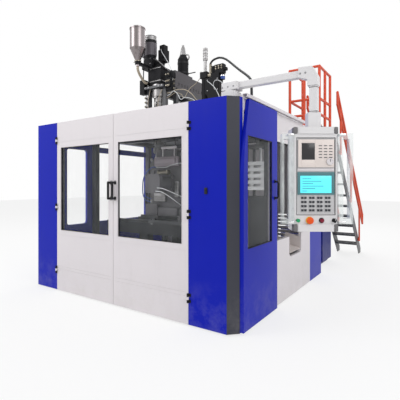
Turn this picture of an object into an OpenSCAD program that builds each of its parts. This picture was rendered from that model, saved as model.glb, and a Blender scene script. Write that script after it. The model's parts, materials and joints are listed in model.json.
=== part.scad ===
// Extrusion blow moulding machine: guarded clamp station, extruder and die head on the roof,
// swinging operator pendant, hydraulic unit and stair behind. Millimetres.
// Origin at the centre of the guarded body on the floor, +X to the right, +Y to the back, +Z up.

/* [Body] */
// Width of the guarded body
body_w = 3158; // [3140:2:3300]
// Depth of the guarded body
body_d = 2820; // [2800:2:2960]
// Height of the guards
body_h = 2200; // [2190:1:2220]
// Leg of the 45 degree cut on the front corners
corner_cut = 88; // [60:1:100]
// Thickness of the guard panels
panel_t = 40; // [34:1:44]
// Gap between the guards and the floor
floor_gap = 15; // [8:1:30]
// Side of the square posts
post_w = 80; // [60:2:90]
// Height of the roof ring beams
ring_h = 70; // [50:1:90]
// Thickness of the roof plate
roof_t = 12; // [8:1:16]

/* [Base] */
// Height of the levelling feet
foot_h = 40; // [30:1:60]
// Radius of a foot pad
foot_r = 60; // [45:1:70]
// Height of the base frame beams
base_h = 150; // [120:2:170]
// Width of the base frame beams
base_beam_w = 120; // [90:2:140]

/* [Front doors] */
// Width of each front door
door_w = 1057; // [1000:1:1080]
// Thickness of a front door
door_t = 38; // [30:1:40]
// Gap between the two doors
door_gap = 6; // [4:1:10]
// Thickness of a door skin
skin_t = 3; // [2:0.5:5]
// Height of the window sills
sill_z = 798; // [760:1:840]
// Height of the window heads
head_z = 1870; // [1820:1:1890]
// Window margin on the hinge side
hinge_margin = 80; // [66:1:100]
// Window margin on the handle side
handle_margin = 74; // [66:1:100]
// Thickness of the window panes
pane_t = 6; // [4:1:8]
// Lap of a pane over its frame
pane_lap = 15; // [8:1:20]
// Height of the lower end of the door handles
handle_z = 1216; // [1150:1:1250]
// Length of the door handles
handle_len = 209; // [180:1:240]
// Radius of a handle grip
grip_r = 13; // [10:0.5:15]
// Stand-off of a handle grip from the door
grip_off = 48; // [40:1:60]
// Radius of the hinge pins
hinge_pin_r = 5; // [4:0.5:6]
// Outer radius of the hinge knuckles
hinge_r = 11; // [9:0.5:13]
// Length of a hinge
hinge_len = 90; // [70:1:110]

/* [Side door] */
// Length of the sliding side door
side_door_len = 814; // [800:1:830]
// Thickness of the sliding side door
side_door_t = 36; // [30:1:40]
// Running gap between the side door and the wall
side_door_gap = 4; // [2:1:8]
// Length of the side door window
side_window_len = 582; // [560:1:600]
// Height of the track above the guards
track_h = 36; // [35:1:44]
// Radius of the track rollers
roller_r = 11; // [9:0.5:11.5]

/* [Openings in the side walls] */
// Front edge of the left bay
bay_front = -370; // [-400:1:-350]
// Back edge of the side bays
bay_back = 802; // [780:1:840]
// Front edge of the right bay
hatch_front = -420; // [-440:1:-400]
// Sill of the right bay
bay_sill = 750; // [720:1:780]
// Head of the right bay
bay_head = 1877; // [1800:1:1900]
// Half width of the notch for the product chute
notch_half = 228; // [200:1:240]
// Depth of the notch for the product chute
notch_depth = 250; // [200:1:280]

/* [Stations] */
// Distance of the die axis to the left of the centre
die_x = 500; // [480:1:510]
// Pitch of the die, blow and trim stations
pitch = 845; // [830:1:850]

/* [Clamp] */
// Height of the machine bed
bed_z = 850; // [830:1:860]
// Width of the platens
platen_w = 560; // [540:2:580]
// Thickness of the platens
platen_t = 90; // [80:1:100]
// Thickness of the front end plate
end_t = 80; // [70:1:90]
// Width of a mould
mould_w = 440; // [400:2:460]
// Thickness of a mould half
mould_t = 150; // [140:1:160]
// Height of a mould
mould_h = 480; // [460:1:500]
// Gap between the closed mould halves
mould_gap = 0.3; // [0.2:0.1:0.6]
// Stroke of each mould half
clamp_stroke = 130; // [110:1:135]
// Radius of the tie bars
tie_r = 32; // [28:0.5:34]
// Bore radius of the clamp cylinder
clamp_bore_r = 85; // [75:1:90]
// Rod radius of the clamp cylinder
clamp_rod_r = 40; // [34:1:44]
// Radial clearance of sliding fits
fit = 0.05; // [0.03:0.01:0.09]
// Running gap of shoes on rails
shoe_gap = 0.3; // [0.2:0.1:0.5]

/* [Die head and extruder] */
// Radius of the die head body
head_r = 75; // [70:1:82]
// Radius of the parison core
core_r = 38; // [34:1:40]
// Stroke of the parison core
core_stroke = 12; // [8:1:14]
// Height of the head plate above the roof
head_rise = 703; // [695:1:710]
// Height of the extruder axis above its beams
screw_rise = 132; // [126:1:138]
// Radius of the extruder screw
screw_r = 45; // [40:1:50]
// Outer radius of the extruder barrel
barrel_r = 75; // [70:1:78]
// Half width of the extruder frame and guard
guard_half = 170; // [160:1:176]

/* [Blow unit] */
// Radius of the blow column
column_r = 52; // [50:0.5:56]
// Height of the blow column above the roof
column_rise = 701; // [690:1:710]
// Radius of the blow rod
blow_rod_r = 22; // [18:0.5:24]
// Radius of the blow pin
blow_pin_r = 20; // [16:0.5:21]
// Stroke of the blow pin
blow_stroke = 165; // [140:1:170]

/* [Pendant] */
// Reach of the pendant arm
arm_reach = 794; // [770:1:820]
// Width of the pendant housing
panel_w = 362; // [350:2:376]
// Depth of the pendant housing
panel_d = 190; // [170:2:210]
// Height of the bottom of the pendant
pendant_z = 1002; // [980:1:1020]
// Height of the pendant housing
pendant_h = 855; // [845:1:870]
// Turn of the pendant towards the operator
pendant_yaw = 34; // [20:1:50]
// Travel of the push buttons
button_travel = 5; // [3:0.5:6]

/* [Stair and rails] */
// Width of the stair
stair_w = 420; // [400:2:440]
// Distance of the stair foot behind the body
stair_run = 2290; // [2260:2:2340]
// Number of treads
treads = 10; // [8:1:11]
// Radius of the guard rail tubes
rail_r = 20; // [17:0.5:22]
// Height of the guard rails above the landing
rail_h = 845; // [800:1:900]

/* [Hidden] */
$fn = 48;
// Overlap of joined members
weld = 4;

// Body planes
half_w = body_w / 2;
half_d = body_d / 2;
in_w = half_w - panel_t;
in_d = half_d - panel_t;
in_cut = corner_cut - panel_t * (2 - sqrt(2));
base_z = foot_h + base_h;
roof_z = body_h - 8;
ring_z1 = roof_z - roof_t;
ring_z0 = ring_z1 - ring_h;
post_in = in_w - post_w;
door_edge = door_gap / 2 + door_w;
panel_edge = door_edge + 3;
hinge_y = -half_d - hinge_r - 1;
hinge_x = panel_edge;
hinge_spots = [232, body_h / 2 - 50, body_h - 281];
pane_fit = 0.5;
joist_y = 200;

// Stations
head_x = -die_x;
blow_x = head_x + pitch;
trim_x = blow_x + pitch;
head_hole = 125;

// Side door
side_x0 = half_w + side_door_gap;
side_x1 = side_x0 + side_door_t;
side_y0 = -half_d + 90;
side_y1 = side_y0 + side_door_len;
side_top = body_h - 5;
side_win_y0 = side_y0 + 86;
side_win_y1 = side_win_y0 + side_window_len;
side_sill_z = sill_z - 16;
side_head_z = head_z - 22;
track_mid = (side_x0 + side_x1) / 2;
track_half = 24;
track_t = 4;
track_z0 = body_h + 4;
track_z1 = body_h + track_h;

// Clamp levels
rail_w = 40;
rail_high = 30;
x_rail_y = [-410, 270];
y_rail_dx = 200;
plate_z0 = bed_z + 55;
plate_z1 = plate_z0 + 40;
clamp_z0 = plate_z1 + 55;
mould_z0 = clamp_z0 + 210;
mould_z1 = mould_z0 + mould_h;
platen_z1 = mould_z1 + 100;
tie_low_z = clamp_z0 + 60;
tie_high_z = mould_z1 + 55;
tie_dx = platen_w / 2 - 50;
end_y1 = -770;
end_y0 = end_y1 - end_t;
cyl_len = 280;
cyl_z = clamp_z0 + 400;
cap_t = 20;
carriage_y0 = end_y0 - 30;
carriage_y1 = mould_t + platen_t + clamp_stroke + 70;
die_z = mould_z1 + 70;

// Head frame and extruder
plate_hz1 = roof_z + head_rise;
plate_hz0 = plate_hz1 - 35;
beam_h = 100;
beam_z1 = plate_hz1 + 30;
beam_w = 70;
beam_x = guard_half - beam_w / 2;
screw_z = beam_z1 + screw_rise;
block_r = 105;
block_z1 = screw_z + 123;
guard_z1 = screw_z + 132;
throat_y0 = in_d + 190;
throat_y1 = throat_y0 + 180;
gear_y0 = throat_y1 + 50;
gear_y1 = gear_y0 + 330;
beam_y1 = gear_y1 + 520;
tower_y = gear_y1 + 180;
stripe_x = head_x - 155;
stripe_y = -35;
stripe_plate_z1 = block_z1 + 56;
feed_z = plate_hz1 + 65;
hopper_y = stripe_y - 292;
spout_r = 25;

// Pendant
arm_y = -half_d + 200;
turret_x = half_w - 149;
column_x = turret_x + arm_reach;
turret_z1 = roof_z + 98;
arm_z0 = body_h + 100;
arm_z1 = arm_z0 + 63;
arm_pin_r = 40;
pendant_top = pendant_z + pendant_h;
face_y = -panel_d / 2;

// Landing and stair
deck_x0 = half_w - 334;
deck_x1 = deck_x0 + 470;
deck_y0 = bay_back + 69;
deck_y1 = half_d + 97;
deck_z1 = roof_z + 38;
stair_x0 = deck_x0 + 100;
stair_x1 = stair_x0 + stair_w;
foot_y = half_d + stair_run;
stair_rise = deck_z1 - 60;
stair_slope = stair_rise / (foot_y - deck_y1);

// Rounded rectangle from one corner to the other, as a list of points
function rounded(x0, y0, x1, y1, r, n = 4) = [
  for (c = [[x1 - r, y1 - r, 0], [x0 + r, y1 - r, 90], [x0 + r, y0 + r, 180], [x1 - r, y0 + r, 270]])
    for (i = [0:n]) [c[0] + r * cos(c[2] + 90 * i / n), c[1] + r * sin(c[2] + 90 * i / n)]
];

// Point on a Catmull-Rom curve through four points
function curve_point(a, b, c, d, t) =
  0.5 * (2 * b + (c - a) * t + (2 * a - 5 * b + 4 * c - d) * t * t + (3 * b - a - 3 * c + d) * t * t * t);
function smooth_route(p, steps) = concat(
  [for (i = [0:len(p) - 2]) for (k = [0:steps - 1])
    curve_point(p[max(i - 1, 0)], p[i], p[i + 1], p[min(i + 2, len(p) - 1)], k / steps)],
  [p[len(p) - 1]]
);
function unit(v) = v / norm(v);
function tangent(p, i) = unit(p[min(i + 1, len(p) - 1)] - p[max(i - 1, 0)]);

// Tube swept along a route; side is a direction that the route never follows
module swept_tube(route, r, side, steps = 5, sides = 8) {
  path = smooth_route(route, steps);
  n = len(path);
  points = [for (i = [0:n - 1])
    let (t = tangent(path, i), u = unit(cross(t, side)), v = cross(t, u))
    for (k = [0:sides - 1]) path[i] + r * cos(360 * k / sides) * u + r * sin(360 * k / sides) * v];
  skins = [for (i = [0:n - 2]) for (k = [0:sides - 1])
    let (a = i * sides + k, b = i * sides + (k + 1) % sides)
    for (f = [[a, b, b + sides], [a, b + sides, a + sides]]) f];
  polyhedron(points, concat(skins, [[for (k = [sides - 1:-1:0]) k]],
    [[for (k = [0:sides - 1]) (n - 1) * sides + k]]));
}

module box(x0, y0, z0, x1, y1, z1) {
  translate([x0, y0, z0]) cube([x1 - x0, y1 - y0, z1 - z0]);
}
module rod_x(x0, x1, y, z, r) {
  translate([x0, y, z]) rotate([0, 90, 0]) cylinder(r = r, h = x1 - x0);
}
module rod_y(x, y0, y1, z, r) {
  translate([x, y1, z]) rotate([90, 0, 0]) cylinder(r = r, h = y1 - y0);
}
module rod_z(x, y, z0, z1, r) {
  translate([x, y, z0]) cylinder(r = r, h = z1 - z0);
}
module tube_between(a, b, r) {
  d = b - a;
  translate(a) rotate([0, acos(d[2] / norm(d)), atan2(d[1], d[0])]) cylinder(r = r, h = norm(d));
}
module plate_xz(y0, y1) {
  translate([0, y1, 0]) rotate([90, 0, 0]) linear_extrude(y1 - y0) children();
}
module plate_yz(x0, x1) {
  translate([x0, 0, 0]) rotate([90, 0, 90]) linear_extrude(x1 - x0) children();
}
module plate_xy(z0, z1) {
  translate([0, 0, z0]) linear_extrude(z1 - z0) children();
}
module both_sides() {
  children();
  mirror([1, 0, 0]) children();
}

// Plan of the ring inside the guards, with its two front corners cut
function ring_plan(w, d, cut) = [
  [-w, d], [w, d], [w, -d + cut], [w - cut, -d], [-w + cut, -d], [-w, -d + cut]
];

foot_spots = concat(
  [for (x = [-in_w + 120, -die_x, blow_x, in_w - 120]) for (y = [-in_d + 60, in_d - 60]) [x, y]],
  [[0, 0], [-in_w + 60, 0], [in_w - 60, 0]]
);

module base_frame() color("dimgray") {
  plate_xy(foot_h, base_z) difference() {
    polygon(ring_plan(in_w, in_d, in_cut));
    polygon(ring_plan(in_w - base_beam_w, in_d - base_beam_w, in_cut));
  }
  run_y = in_d - base_beam_w + weld;
  run_x = in_w - base_beam_w + weld;
  box(-base_beam_w / 2, -run_y, foot_h, base_beam_w / 2, run_y, base_z);
  for (y = [x_rail_y[0], 0, x_rail_y[1]])
    box(-run_x, y - base_beam_w / 2, foot_h, run_x, y + base_beam_w / 2, base_z);
  for (p = foot_spots) {
    rod_z(p[0], p[1], 0, 18, foot_r);
    rod_z(p[0], p[1], 0, foot_h + weld, 24);
  }
}

bed_x0 = -1150;
bed_x1 = 760;
bed_beam_z0 = bed_z - 160;
shift_y = -70;
shift_z = bed_z - 90;
shift_r = 35;
shift_rod_r = 20;
shift_x0 = -in_w + 30;
shift_x1 = blow_x - pitch - 60;
module machine_bed() color("gray") {
  difference() {
    union() {
      for (y = x_rail_y) {
        box(bed_x0, y - 70, bed_beam_z0, bed_x1, y + 70, bed_z);
        for (x = [bed_x0 + 20, -430, 290, bed_x1 - 120])
          box(x, y - 60, base_z, x + 100, y + 60, bed_beam_z0 + weld);
      }
      for (x = [bed_x0 + 20, bed_x1 - 100])
        box(x, x_rail_y[0], bed_beam_z0, x + 80, x_rail_y[1], bed_beam_z0 + 110);
      rod_x(shift_x0, shift_x1, shift_y, shift_z, shift_r + 11);
    }
    rod_x(shift_x0 + 20, shift_x1 - 20, shift_y, shift_z, shift_r);
    rod_x(shift_x1 - 40, shift_x1 + 10, shift_y, shift_z, shift_rod_r + fit);
  }
  for (y = x_rail_y)
    plate_yz(bed_x0 + 10, bed_x1 - 10) polygon([
      [y - rail_w / 2, bed_z - weld], [y + rail_w / 2, bed_z - weld], [y + rail_w / 2, bed_z + 8],
      [y + rail_w / 2 - 5, bed_z + 14], [y + rail_w / 2, bed_z + 20], [y + rail_w / 2, bed_z + rail_high],
      [y - rail_w / 2, bed_z + rail_high], [y - rail_w / 2, bed_z + 20],
      [y - rail_w / 2 + 5, bed_z + 14], [y - rail_w / 2, bed_z + 8]
    ]);
}

corner_post_x = in_w - in_cut - 20 - post_w;
module upper_frame() color("dimgray") {
  top = ring_z0 + weld;
  both_sides() {
    box(corner_post_x, -in_d, base_z, corner_post_x + post_w, -in_d + post_w, top);
    box(panel_edge + 8, -in_d, base_z, panel_edge + 8 + post_w, -in_d + post_w, top);
    box(post_in, in_d - post_w, base_z, in_w, in_d, top);
    box(post_in, bay_back, base_z, in_w, bay_back + post_w, top);
  }
  box(-in_w, bay_front - post_w, base_z, -post_in, bay_front, top);
  box(post_in, hatch_front - post_w, base_z, in_w, hatch_front, top);
  plate_xy(ring_z0, ring_z1) difference() {
    polygon(ring_plan(in_w, in_d, in_cut));
    polygon(ring_plan(in_w - post_w, in_d - post_w, in_cut));
  }
  for (y = [-joist_y - post_w, joist_y])
    box(-post_in - weld, y, ring_z0, post_in + weld, y + post_w, ring_z1);
}

module roof_plates() color("gainsboro") plate_xy(ring_z1, roof_z) difference() {
  polygon(ring_plan(in_w - 4, in_d - 4, in_cut));
  translate([head_x, 0]) square(2 * head_hole, center = true);
  translate([blow_x, 0]) square(180, center = true);
}

module corner_strips() color("slategray") both_sides() plate_xy(floor_gap, body_h) polygon([
  [half_w - corner_cut, -half_d], [half_w, -half_d + corner_cut],
  [in_w, -in_d + in_cut], [in_w - in_cut, -in_d]
]);

doorway = [side_y0 + 80, side_y1 - 68];
blue_edge = doorway[0] - 22;
module blue_panels() color("mediumblue") {
  both_sides() plate_xy(floor_gap, body_h) polygon([
    [panel_edge, -half_d], [half_w - corner_cut, -half_d], [in_w - in_cut, -in_d], [panel_edge, -in_d]
  ]);
  plate_xy(floor_gap, body_h) polygon([
    [half_w, -half_d + corner_cut], [half_w, blue_edge], [in_w, blue_edge], [in_w, -in_d + in_cut]
  ]);
  box(in_w, bay_back + 30, floor_gap, half_w, half_d, body_h);
}

left_window = [[bay_front - 546, bay_sill + 30], [bay_front - 181, body_h - 265]];
left_head = body_h - 285;
module left_wall() color("mediumblue") mirror([1, 0, 0]) {
  difference() {
    plate_xy(floor_gap, body_h) polygon([
      [half_w, -half_d + corner_cut], [half_w, half_d], [in_w, half_d], [in_w, -in_d + in_cut]
    ]);
    plate_yz(in_w - 10, half_w + 10)
      polygon(rounded(left_window[0][0], left_window[0][1], left_window[1][0], left_window[1][1], 40));
    plate_yz(in_w - 10, half_w + 10)
      polygon(rounded(bay_front, bay_sill + 40, bay_back, left_head, 12));
    plate_yz(in_w - 10, half_w + 10)
      polygon(rounded(bay_front, left_head + 88, bay_back, ring_z0 - 5, 12));
  }
}

module right_wall() color("whitesmoke") difference() {
  plate_xy(floor_gap, body_h) polygon([
    [half_w, blue_edge], [half_w, bay_back + 30], [in_w, bay_back + 30], [in_w, blue_edge]
  ]);
  plate_yz(in_w - 10, half_w + 10) polygon(rounded(doorway[0], 190, doorway[1], ring_z0 - 20, 10));
  plate_yz(in_w - 10, half_w + 10) polygon(rounded(hatch_front, bay_sill, bay_back, bay_head, 12));
  plate_yz(in_w - 10, half_w + 10)
    polygon(rounded(chute_y - notch_half, bay_sill - notch_depth, chute_y + notch_half, bay_sill + 40, 60));
}

louvres = 9;
module rear_wall() color("whitesmoke") difference() {
  box(-in_w, in_d, floor_gap, in_w, half_d, body_h);
  for (x = [-1100, 0, 1100])
    for (i = [0:louvres - 1])
      plate_xz(in_d - 10, half_d + 10)
        translate([x, 420 + 60 * i]) polygon(rounded(-220, -9, 220, 9, 8, 3));
}

module wall_windows() color("lightcyan", 0.35) mirror([1, 0, 0]) {
  plate_yz(in_w - pane_t, in_w) polygon(rounded(left_window[0][0] - pane_lap, left_window[0][1] - pane_lap,
    left_window[1][0] + pane_lap, left_window[1][1] + pane_lap, 30));
  box(in_w - pane_t, bay_front + 1, bay_sill + 25, in_w, bay_back - 1, left_head + 15);
  box(in_w - pane_t, bay_front + 1, left_head + 75, in_w, bay_back - 1, ring_z0 - 1);
}

module side_door_track() color("whitesmoke") {
  ty0 = side_y0 + 60;
  ty1 = side_y1 + 1000;
  plate_xz(ty0, ty1) difference() {
    translate([track_mid - track_half, track_z0]) square([2 * track_half, track_z1 - track_z0]);
    translate([track_mid - track_half + track_t, track_z0 + track_t])
      square([2 * (track_half - track_t), track_z1 - track_z0 - 2 * track_t]);
    translate([track_mid - 7, track_z0 - 1]) square([14, track_t + 2]);
  }
  for (i = [0:4])
    translate([0, ty0 + 20 + i * (ty1 - ty0 - 80) / 4, 0])
      box(in_w + 6, 0, body_h, track_mid - track_half + track_t / 2, 40, track_z1);
}

module hinge_leaf(x0, x1, z0, z1) {
  box(x0, -half_d - 4, z0, x1, -half_d, z1);
}
module knuckle(z0, z1, r_in) {
  difference() {
    rod_z(hinge_x, hinge_y, z0, z1, hinge_r);
    rod_z(hinge_x, hinge_y, z0 - 1, z1 + 1, r_in);
  }
}
module door_hinges() color("black") both_sides() for (z = hinge_spots) {
  for (s = [0, 1]) {
    za = z + s * hinge_len * 2 / 3;
    rod_z(hinge_x, hinge_y, za, za + hinge_len / 3, hinge_r);
    hinge_leaf(hinge_x + 1, hinge_x + 30, za, za + hinge_len / 3);
  }
  rod_z(hinge_x, hinge_y, z, z + hinge_len, hinge_pin_r);
}
module door_knuckles() for (z = hinge_spots) {
  knuckle(z + hinge_len / 3 + 0.5, z + hinge_len * 2 / 3 - 0.5, hinge_pin_r + fit);
  difference() {
    hinge_leaf(hinge_x - 34, hinge_x - 4, z + hinge_len / 3 + 0.5, z + hinge_len * 2 / 3 - 0.5);
    rod_z(hinge_x, hinge_y, z, z + hinge_len, hinge_r - 1);
  }
}

win_in = door_gap / 2 + handle_margin;
win_out = door_edge - hinge_margin;
seams = [290, 328, sill_z - 63, head_z + 70];
module front_door() {
  difference() {
    box(door_gap / 2, -half_d, floor_gap, door_edge, -half_d + door_t, body_h);
    box(win_in, -half_d - 1, sill_z, win_out, -half_d + door_t + 1, head_z);
    box(win_in - pane_lap, -half_d + door_t - pane_t - 8, sill_z - pane_lap,
      win_out + pane_lap, -half_d + door_t + 1, head_z + pane_lap);
    for (z = [[floor_gap + 30, sill_z - pane_lap - 20], [head_z + pane_lap + 20, body_h - 30]])
      box(door_gap / 2 + 30, -half_d + skin_t, z[0], door_edge - 30, -half_d + door_t + 1, z[1]);
    for (z = seams)
      box(win_in - 40, -half_d - 1, z, win_out + 40, -half_d + skin_t / 2, z + 4);
  }
  door_knuckles();
}
module front_pane() {
  box(win_in - pane_lap + pane_fit, -half_d + door_t - pane_t - 8, sill_z - pane_lap + pane_fit,
    win_out + pane_lap - pane_fit, -half_d + door_t - 8, head_z + pane_lap - pane_fit);
}
grip_x = door_gap / 2 + 30;
module front_handle() {
  gy = -half_d - grip_off;
  rod_z(grip_x, gy, handle_z + grip_r, handle_z + handle_len - grip_r, grip_r);
  for (z = [handle_z + grip_r, handle_z + handle_len - grip_r]) {
    rod_y(grip_x, gy, -half_d, z, grip_r);
    translate([grip_x, gy, z]) sphere(r = grip_r);
    box(grip_x - 16, -half_d - 4, z - 20, grip_x + 16, -half_d, z + 20);
  }
}
module right_door() color("whitesmoke") front_door();
module right_door_window() color("lightcyan", 0.35) front_pane();
module right_door_handle() color("black") front_handle();
module left_door() color("whitesmoke") mirror([1, 0, 0]) front_door();
module left_door_window() color("lightcyan", 0.35) mirror([1, 0, 0]) front_pane();
module left_door_handle() color("black") mirror([1, 0, 0]) front_handle();

hangers = [side_y0 + 170, side_y1 - 200];
module side_door() color("mediumblue") {
  difference() {
    plate_yz(side_x0, side_x1) polygon([
      [side_y0, floor_gap + 10], [side_y1, floor_gap + 10], [side_y1, side_top],
      [side_y0 + 118, side_top], [side_y0 + 80, side_top - 158], [side_y0 + 48, side_top - 315],
      [side_y0 + 18, side_top - 495], [side_y0, side_top - 695]
    ]);
    box(side_x0 - 1, side_win_y0, side_sill_z, side_x1 + 1, side_win_y1, side_head_z);
    box(side_x0 - 1, side_win_y0 - pane_lap, side_sill_z - pane_lap, side_x0 + pane_t + 8,
      side_win_y1 + pane_lap, side_head_z + pane_lap);
    box(side_x0 - 1, side_y0 + 40, floor_gap + 50, side_x1 - skin_t, side_y1 - 40, side_sill_z - pane_lap - 20);
  }
  for (y = hangers) {
    box(track_mid - 3, y - 24, side_top, track_mid + 3, y + 24, track_z0 + track_t + roller_r + 10);
    for (s = [-1, 1])
      rod_x(track_mid + s * 13 - 6, track_mid + s * 13 + 6, y, track_z0 + track_t + roller_r + shoe_gap, roller_r);
    rod_x(track_mid - 8, track_mid + 8, y, track_z0 + track_t + roller_r + shoe_gap, 4);
  }
}
module side_door_window() color("lightcyan", 0.35) {
  box(side_x0 + 8, side_win_y0 - pane_lap + pane_fit, side_sill_z - pane_lap + pane_fit, side_x0 + 8 + pane_t,
    side_win_y1 + pane_lap - pane_fit, side_head_z + pane_lap - pane_fit);
}

chute_y = 217;
chute_w = 400;
chute_z = 540;
chute_len = 260;
chute_tilt = 14;
module product_chute() color("rosybrown") {
  difference() {
    translate([half_w + 10, chute_y, chute_z]) rotate([0, chute_tilt, 0]) mirror([1, 0, 0])
      plate_yz(0, chute_len) polygon([
        [-chute_w / 2, 0], [chute_w / 2, 0], [chute_w / 2, 150], [chute_w / 2 - 5, 150],
        [chute_w / 2 - 5, 5], [-chute_w / 2 + 5, 5], [-chute_w / 2 + 5, 150], [-chute_w / 2, 150]
      ]);
    box(half_w - 2, -1000, 0, half_w + 60, 1400, 1000);
  }
  for (y = [chute_y - 160, chute_y + 160])
    box(in_w - 60, y - 20, base_z, in_w - 50, y + 20, chute_z + (half_w + 62 - in_w) * tan(chute_tilt) + 3);
}

// Clamp unit, closed and at the blow station
module rail_shoe_x(x, y) {
  difference() {
    box(x - 60, y - 45, bed_z + 6, x + 60, y + 45, plate_z0);
    box(x - 61, y - rail_w / 2 - shoe_gap, bed_z, x + 61, y + rail_w / 2 + shoe_gap, bed_z + rail_high + shoe_gap);
  }
}
module clamp_carriage() color("dimgray") {
  for (dx = [-230, 230]) for (y = x_rail_y) rail_shoe_x(blow_x + dx, y);
  plate_xy(plate_z0, plate_z1) difference() {
    polygon(rounded(blow_x - 300, carriage_y0, blow_x + 300, carriage_y1, 20));
    polygon(rounded(blow_x - 120, -600, blow_x + 120, -280, 40));
  }
  for (dx = [-y_rail_dx, y_rail_dx])
    box(blow_x + dx - rail_w / 2, carriage_y0, plate_z1, blow_x + dx + rail_w / 2, carriage_y1, plate_z1 + rail_high);
  box(blow_x + 240, shift_y - 40, shift_z - 45, blow_x + 260, shift_y + 40, plate_z0);
  rod_x(shift_x1 - 70, blow_x + 240, shift_y, shift_z, shift_rod_r);
  rod_x(shift_x1 - 70, shift_x1 - 45, shift_y, shift_z, shift_r - fit);
}
module rail_shoe_y(x, y0, y1) {
  difference() {
    box(x - 45, y0, plate_z1 + 6, x + 45, y1, clamp_z0);
    box(x - rail_w / 2 - shoe_gap, y0 - 1, plate_z1, x + rail_w / 2 + shoe_gap, y1 + 1,
      plate_z1 + rail_high + shoe_gap);
  }
}
// Outline of a platen, with an ear for the upper tie bar on the right
module platen_outline() {
  polygon([
    [blow_x - platen_w / 2, clamp_z0], [blow_x + platen_w / 2, clamp_z0],
    [blow_x + platen_w / 2, platen_z1 - 20], [blow_x + platen_w / 2 - 20, platen_z1],
    [blow_x + platen_w / 2 - 90, platen_z1], [blow_x + platen_w / 2 - 130, platen_z1 - 60],
    [blow_x - platen_w / 2 + 80, platen_z1 - 60], [blow_x - platen_w / 2, platen_z1 - 140]
  ]);
}
tie_spots = [[-tie_dx, tie_low_z], [tie_dx, tie_low_z], [tie_dx, tie_high_z]];
module tie_bores(y0, y1, r) {
  for (t = tie_spots) rod_y(blow_x + t[0], y0, y1, t[1], r);
}
module clamp_frame() color("slategray") {
  difference() {
    union() {
      plate_xz(end_y0, end_y1) platen_outline();
      plate_xz(mould_t, mould_t + platen_t) platen_outline();
      for (dx = [-y_rail_dx, y_rail_dx]) {
        rail_shoe_y(blow_x + dx, end_y0 + 2, end_y1 + 60);
        rail_shoe_y(blow_x + dx, mould_t + 2, mould_t + platen_t + 60);
      }
      for (x = [-200, -60, 60])
        box(blow_x + x - 12, mould_t + platen_t, clamp_z0 + 40, blow_x + x + 12, mould_t + platen_t + 55,
          platen_z1 - 150);
      tie_bores(end_y0 - 24, mould_t + platen_t + 24, tie_r);
      for (t = tie_spots) for (y = [end_y0 - 18, mould_t + platen_t])
        translate([blow_x + t[0], y + 18, t[1]]) rotate([90, 0, 0]) cylinder(r = tie_r + 14, h = 18, $fn = 6);
    }
    rod_y(blow_x, end_y0 - 1, end_y1 - 30, cyl_z, clamp_bore_r);
    rod_y(blow_x, end_y1 - 40, end_y1 + 1, cyl_z, clamp_rod_r + fit);
  }
  plate_xz(end_y0 + 5, end_y1 + 25)
    polygon(rounded(blow_x - 185, platen_z1 - 60, blow_x + 145, platen_z1 + 25, 25));
  for (x = [-90, 80]) rod_z(blow_x + x, end_y0 + 50, platen_z1 + 24, platen_z1 + 130, 7);
  box(blow_x - 115, end_y0 + 20, platen_z1 + 130, blow_x + 105, end_y0 + 80, platen_z1 + 158);
}
module clamp_cylinder() color("gray") {
  cy0 = end_y0 - cyl_len;
  difference() {
    union() {
      rod_y(blow_x, cy0 + cap_t, end_y0, cyl_z, clamp_bore_r + 17);
      for (y = [[cy0, cy0 + 50], [end_y0 - 30, end_y0]])
        plate_xz(y[0], y[1]) translate([blow_x, cyl_z])
          polygon(rounded(-clamp_bore_r - 26, -clamp_bore_r - 26, clamp_bore_r + 26, clamp_bore_r + 26, 30));
      for (sx = [-1, 1]) for (sz = [-1, 1])
        rod_y(blow_x + sx * (clamp_bore_r + 8), cy0 - 12, end_y0 - 5, cyl_z + sz * (clamp_bore_r + 8), 9);
    }
    rod_y(blow_x, cy0 + cap_t, end_y0 + 1, cyl_z, clamp_bore_r);
  }
  rod_z(blow_x, cy0 + 26, cyl_z + clamp_bore_r + 25, cyl_z + clamp_bore_r + 70, 15);
  rod_z(blow_x, end_y0 - 15, cyl_z + clamp_bore_r + 25, cyl_z + clamp_bore_r + 70, 13);
}
hose_r = 16;
clamp_hose_route = [
  [25, -810, 1330], [3, -810, 1330], [-19, -810, 1330], [-60, -815, 1296], [-78, -820, 1195],
  [-60, -815, 1094], [-19, -810, 1060], [3, -810, 1060], [25, -810, 1060]
];
module clamp_hose() color("black") {
  translate([blow_x - platen_w / 2 - 25.3, 0, 0]) swept_tube(clamp_hose_route, hose_r, [0, 1, 0]);
}
module front_platen() color("slategray") {
  difference() {
    union() {
      plate_xz(-mould_t - platen_t, -mould_t) platen_outline();
      for (dx = [-y_rail_dx, y_rail_dx])
        rail_shoe_y(blow_x + dx, -mould_t - platen_t - 60, -mould_t - 2);
      for (x = [-200, 150])
        box(blow_x + x, -mould_t - platen_t - 50, tie_low_z + 60, blow_x + x + 24, -mould_t - platen_t,
          mould_z1 - 40);
    }
    tie_bores(-mould_t - platen_t - 61, -mould_t + 1, tie_r + fit);
  }
  rod_y(blow_x, end_y0 + 20, -mould_t - platen_t, cyl_z, clamp_rod_r);
  rod_y(blow_x, end_y0 + 15, end_y0 + 43, cyl_z, clamp_bore_r - fit);
  rod_y(blow_x, -mould_t - platen_t - 24, -mould_t - platen_t, cyl_z, clamp_rod_r + 26);
}

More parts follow.
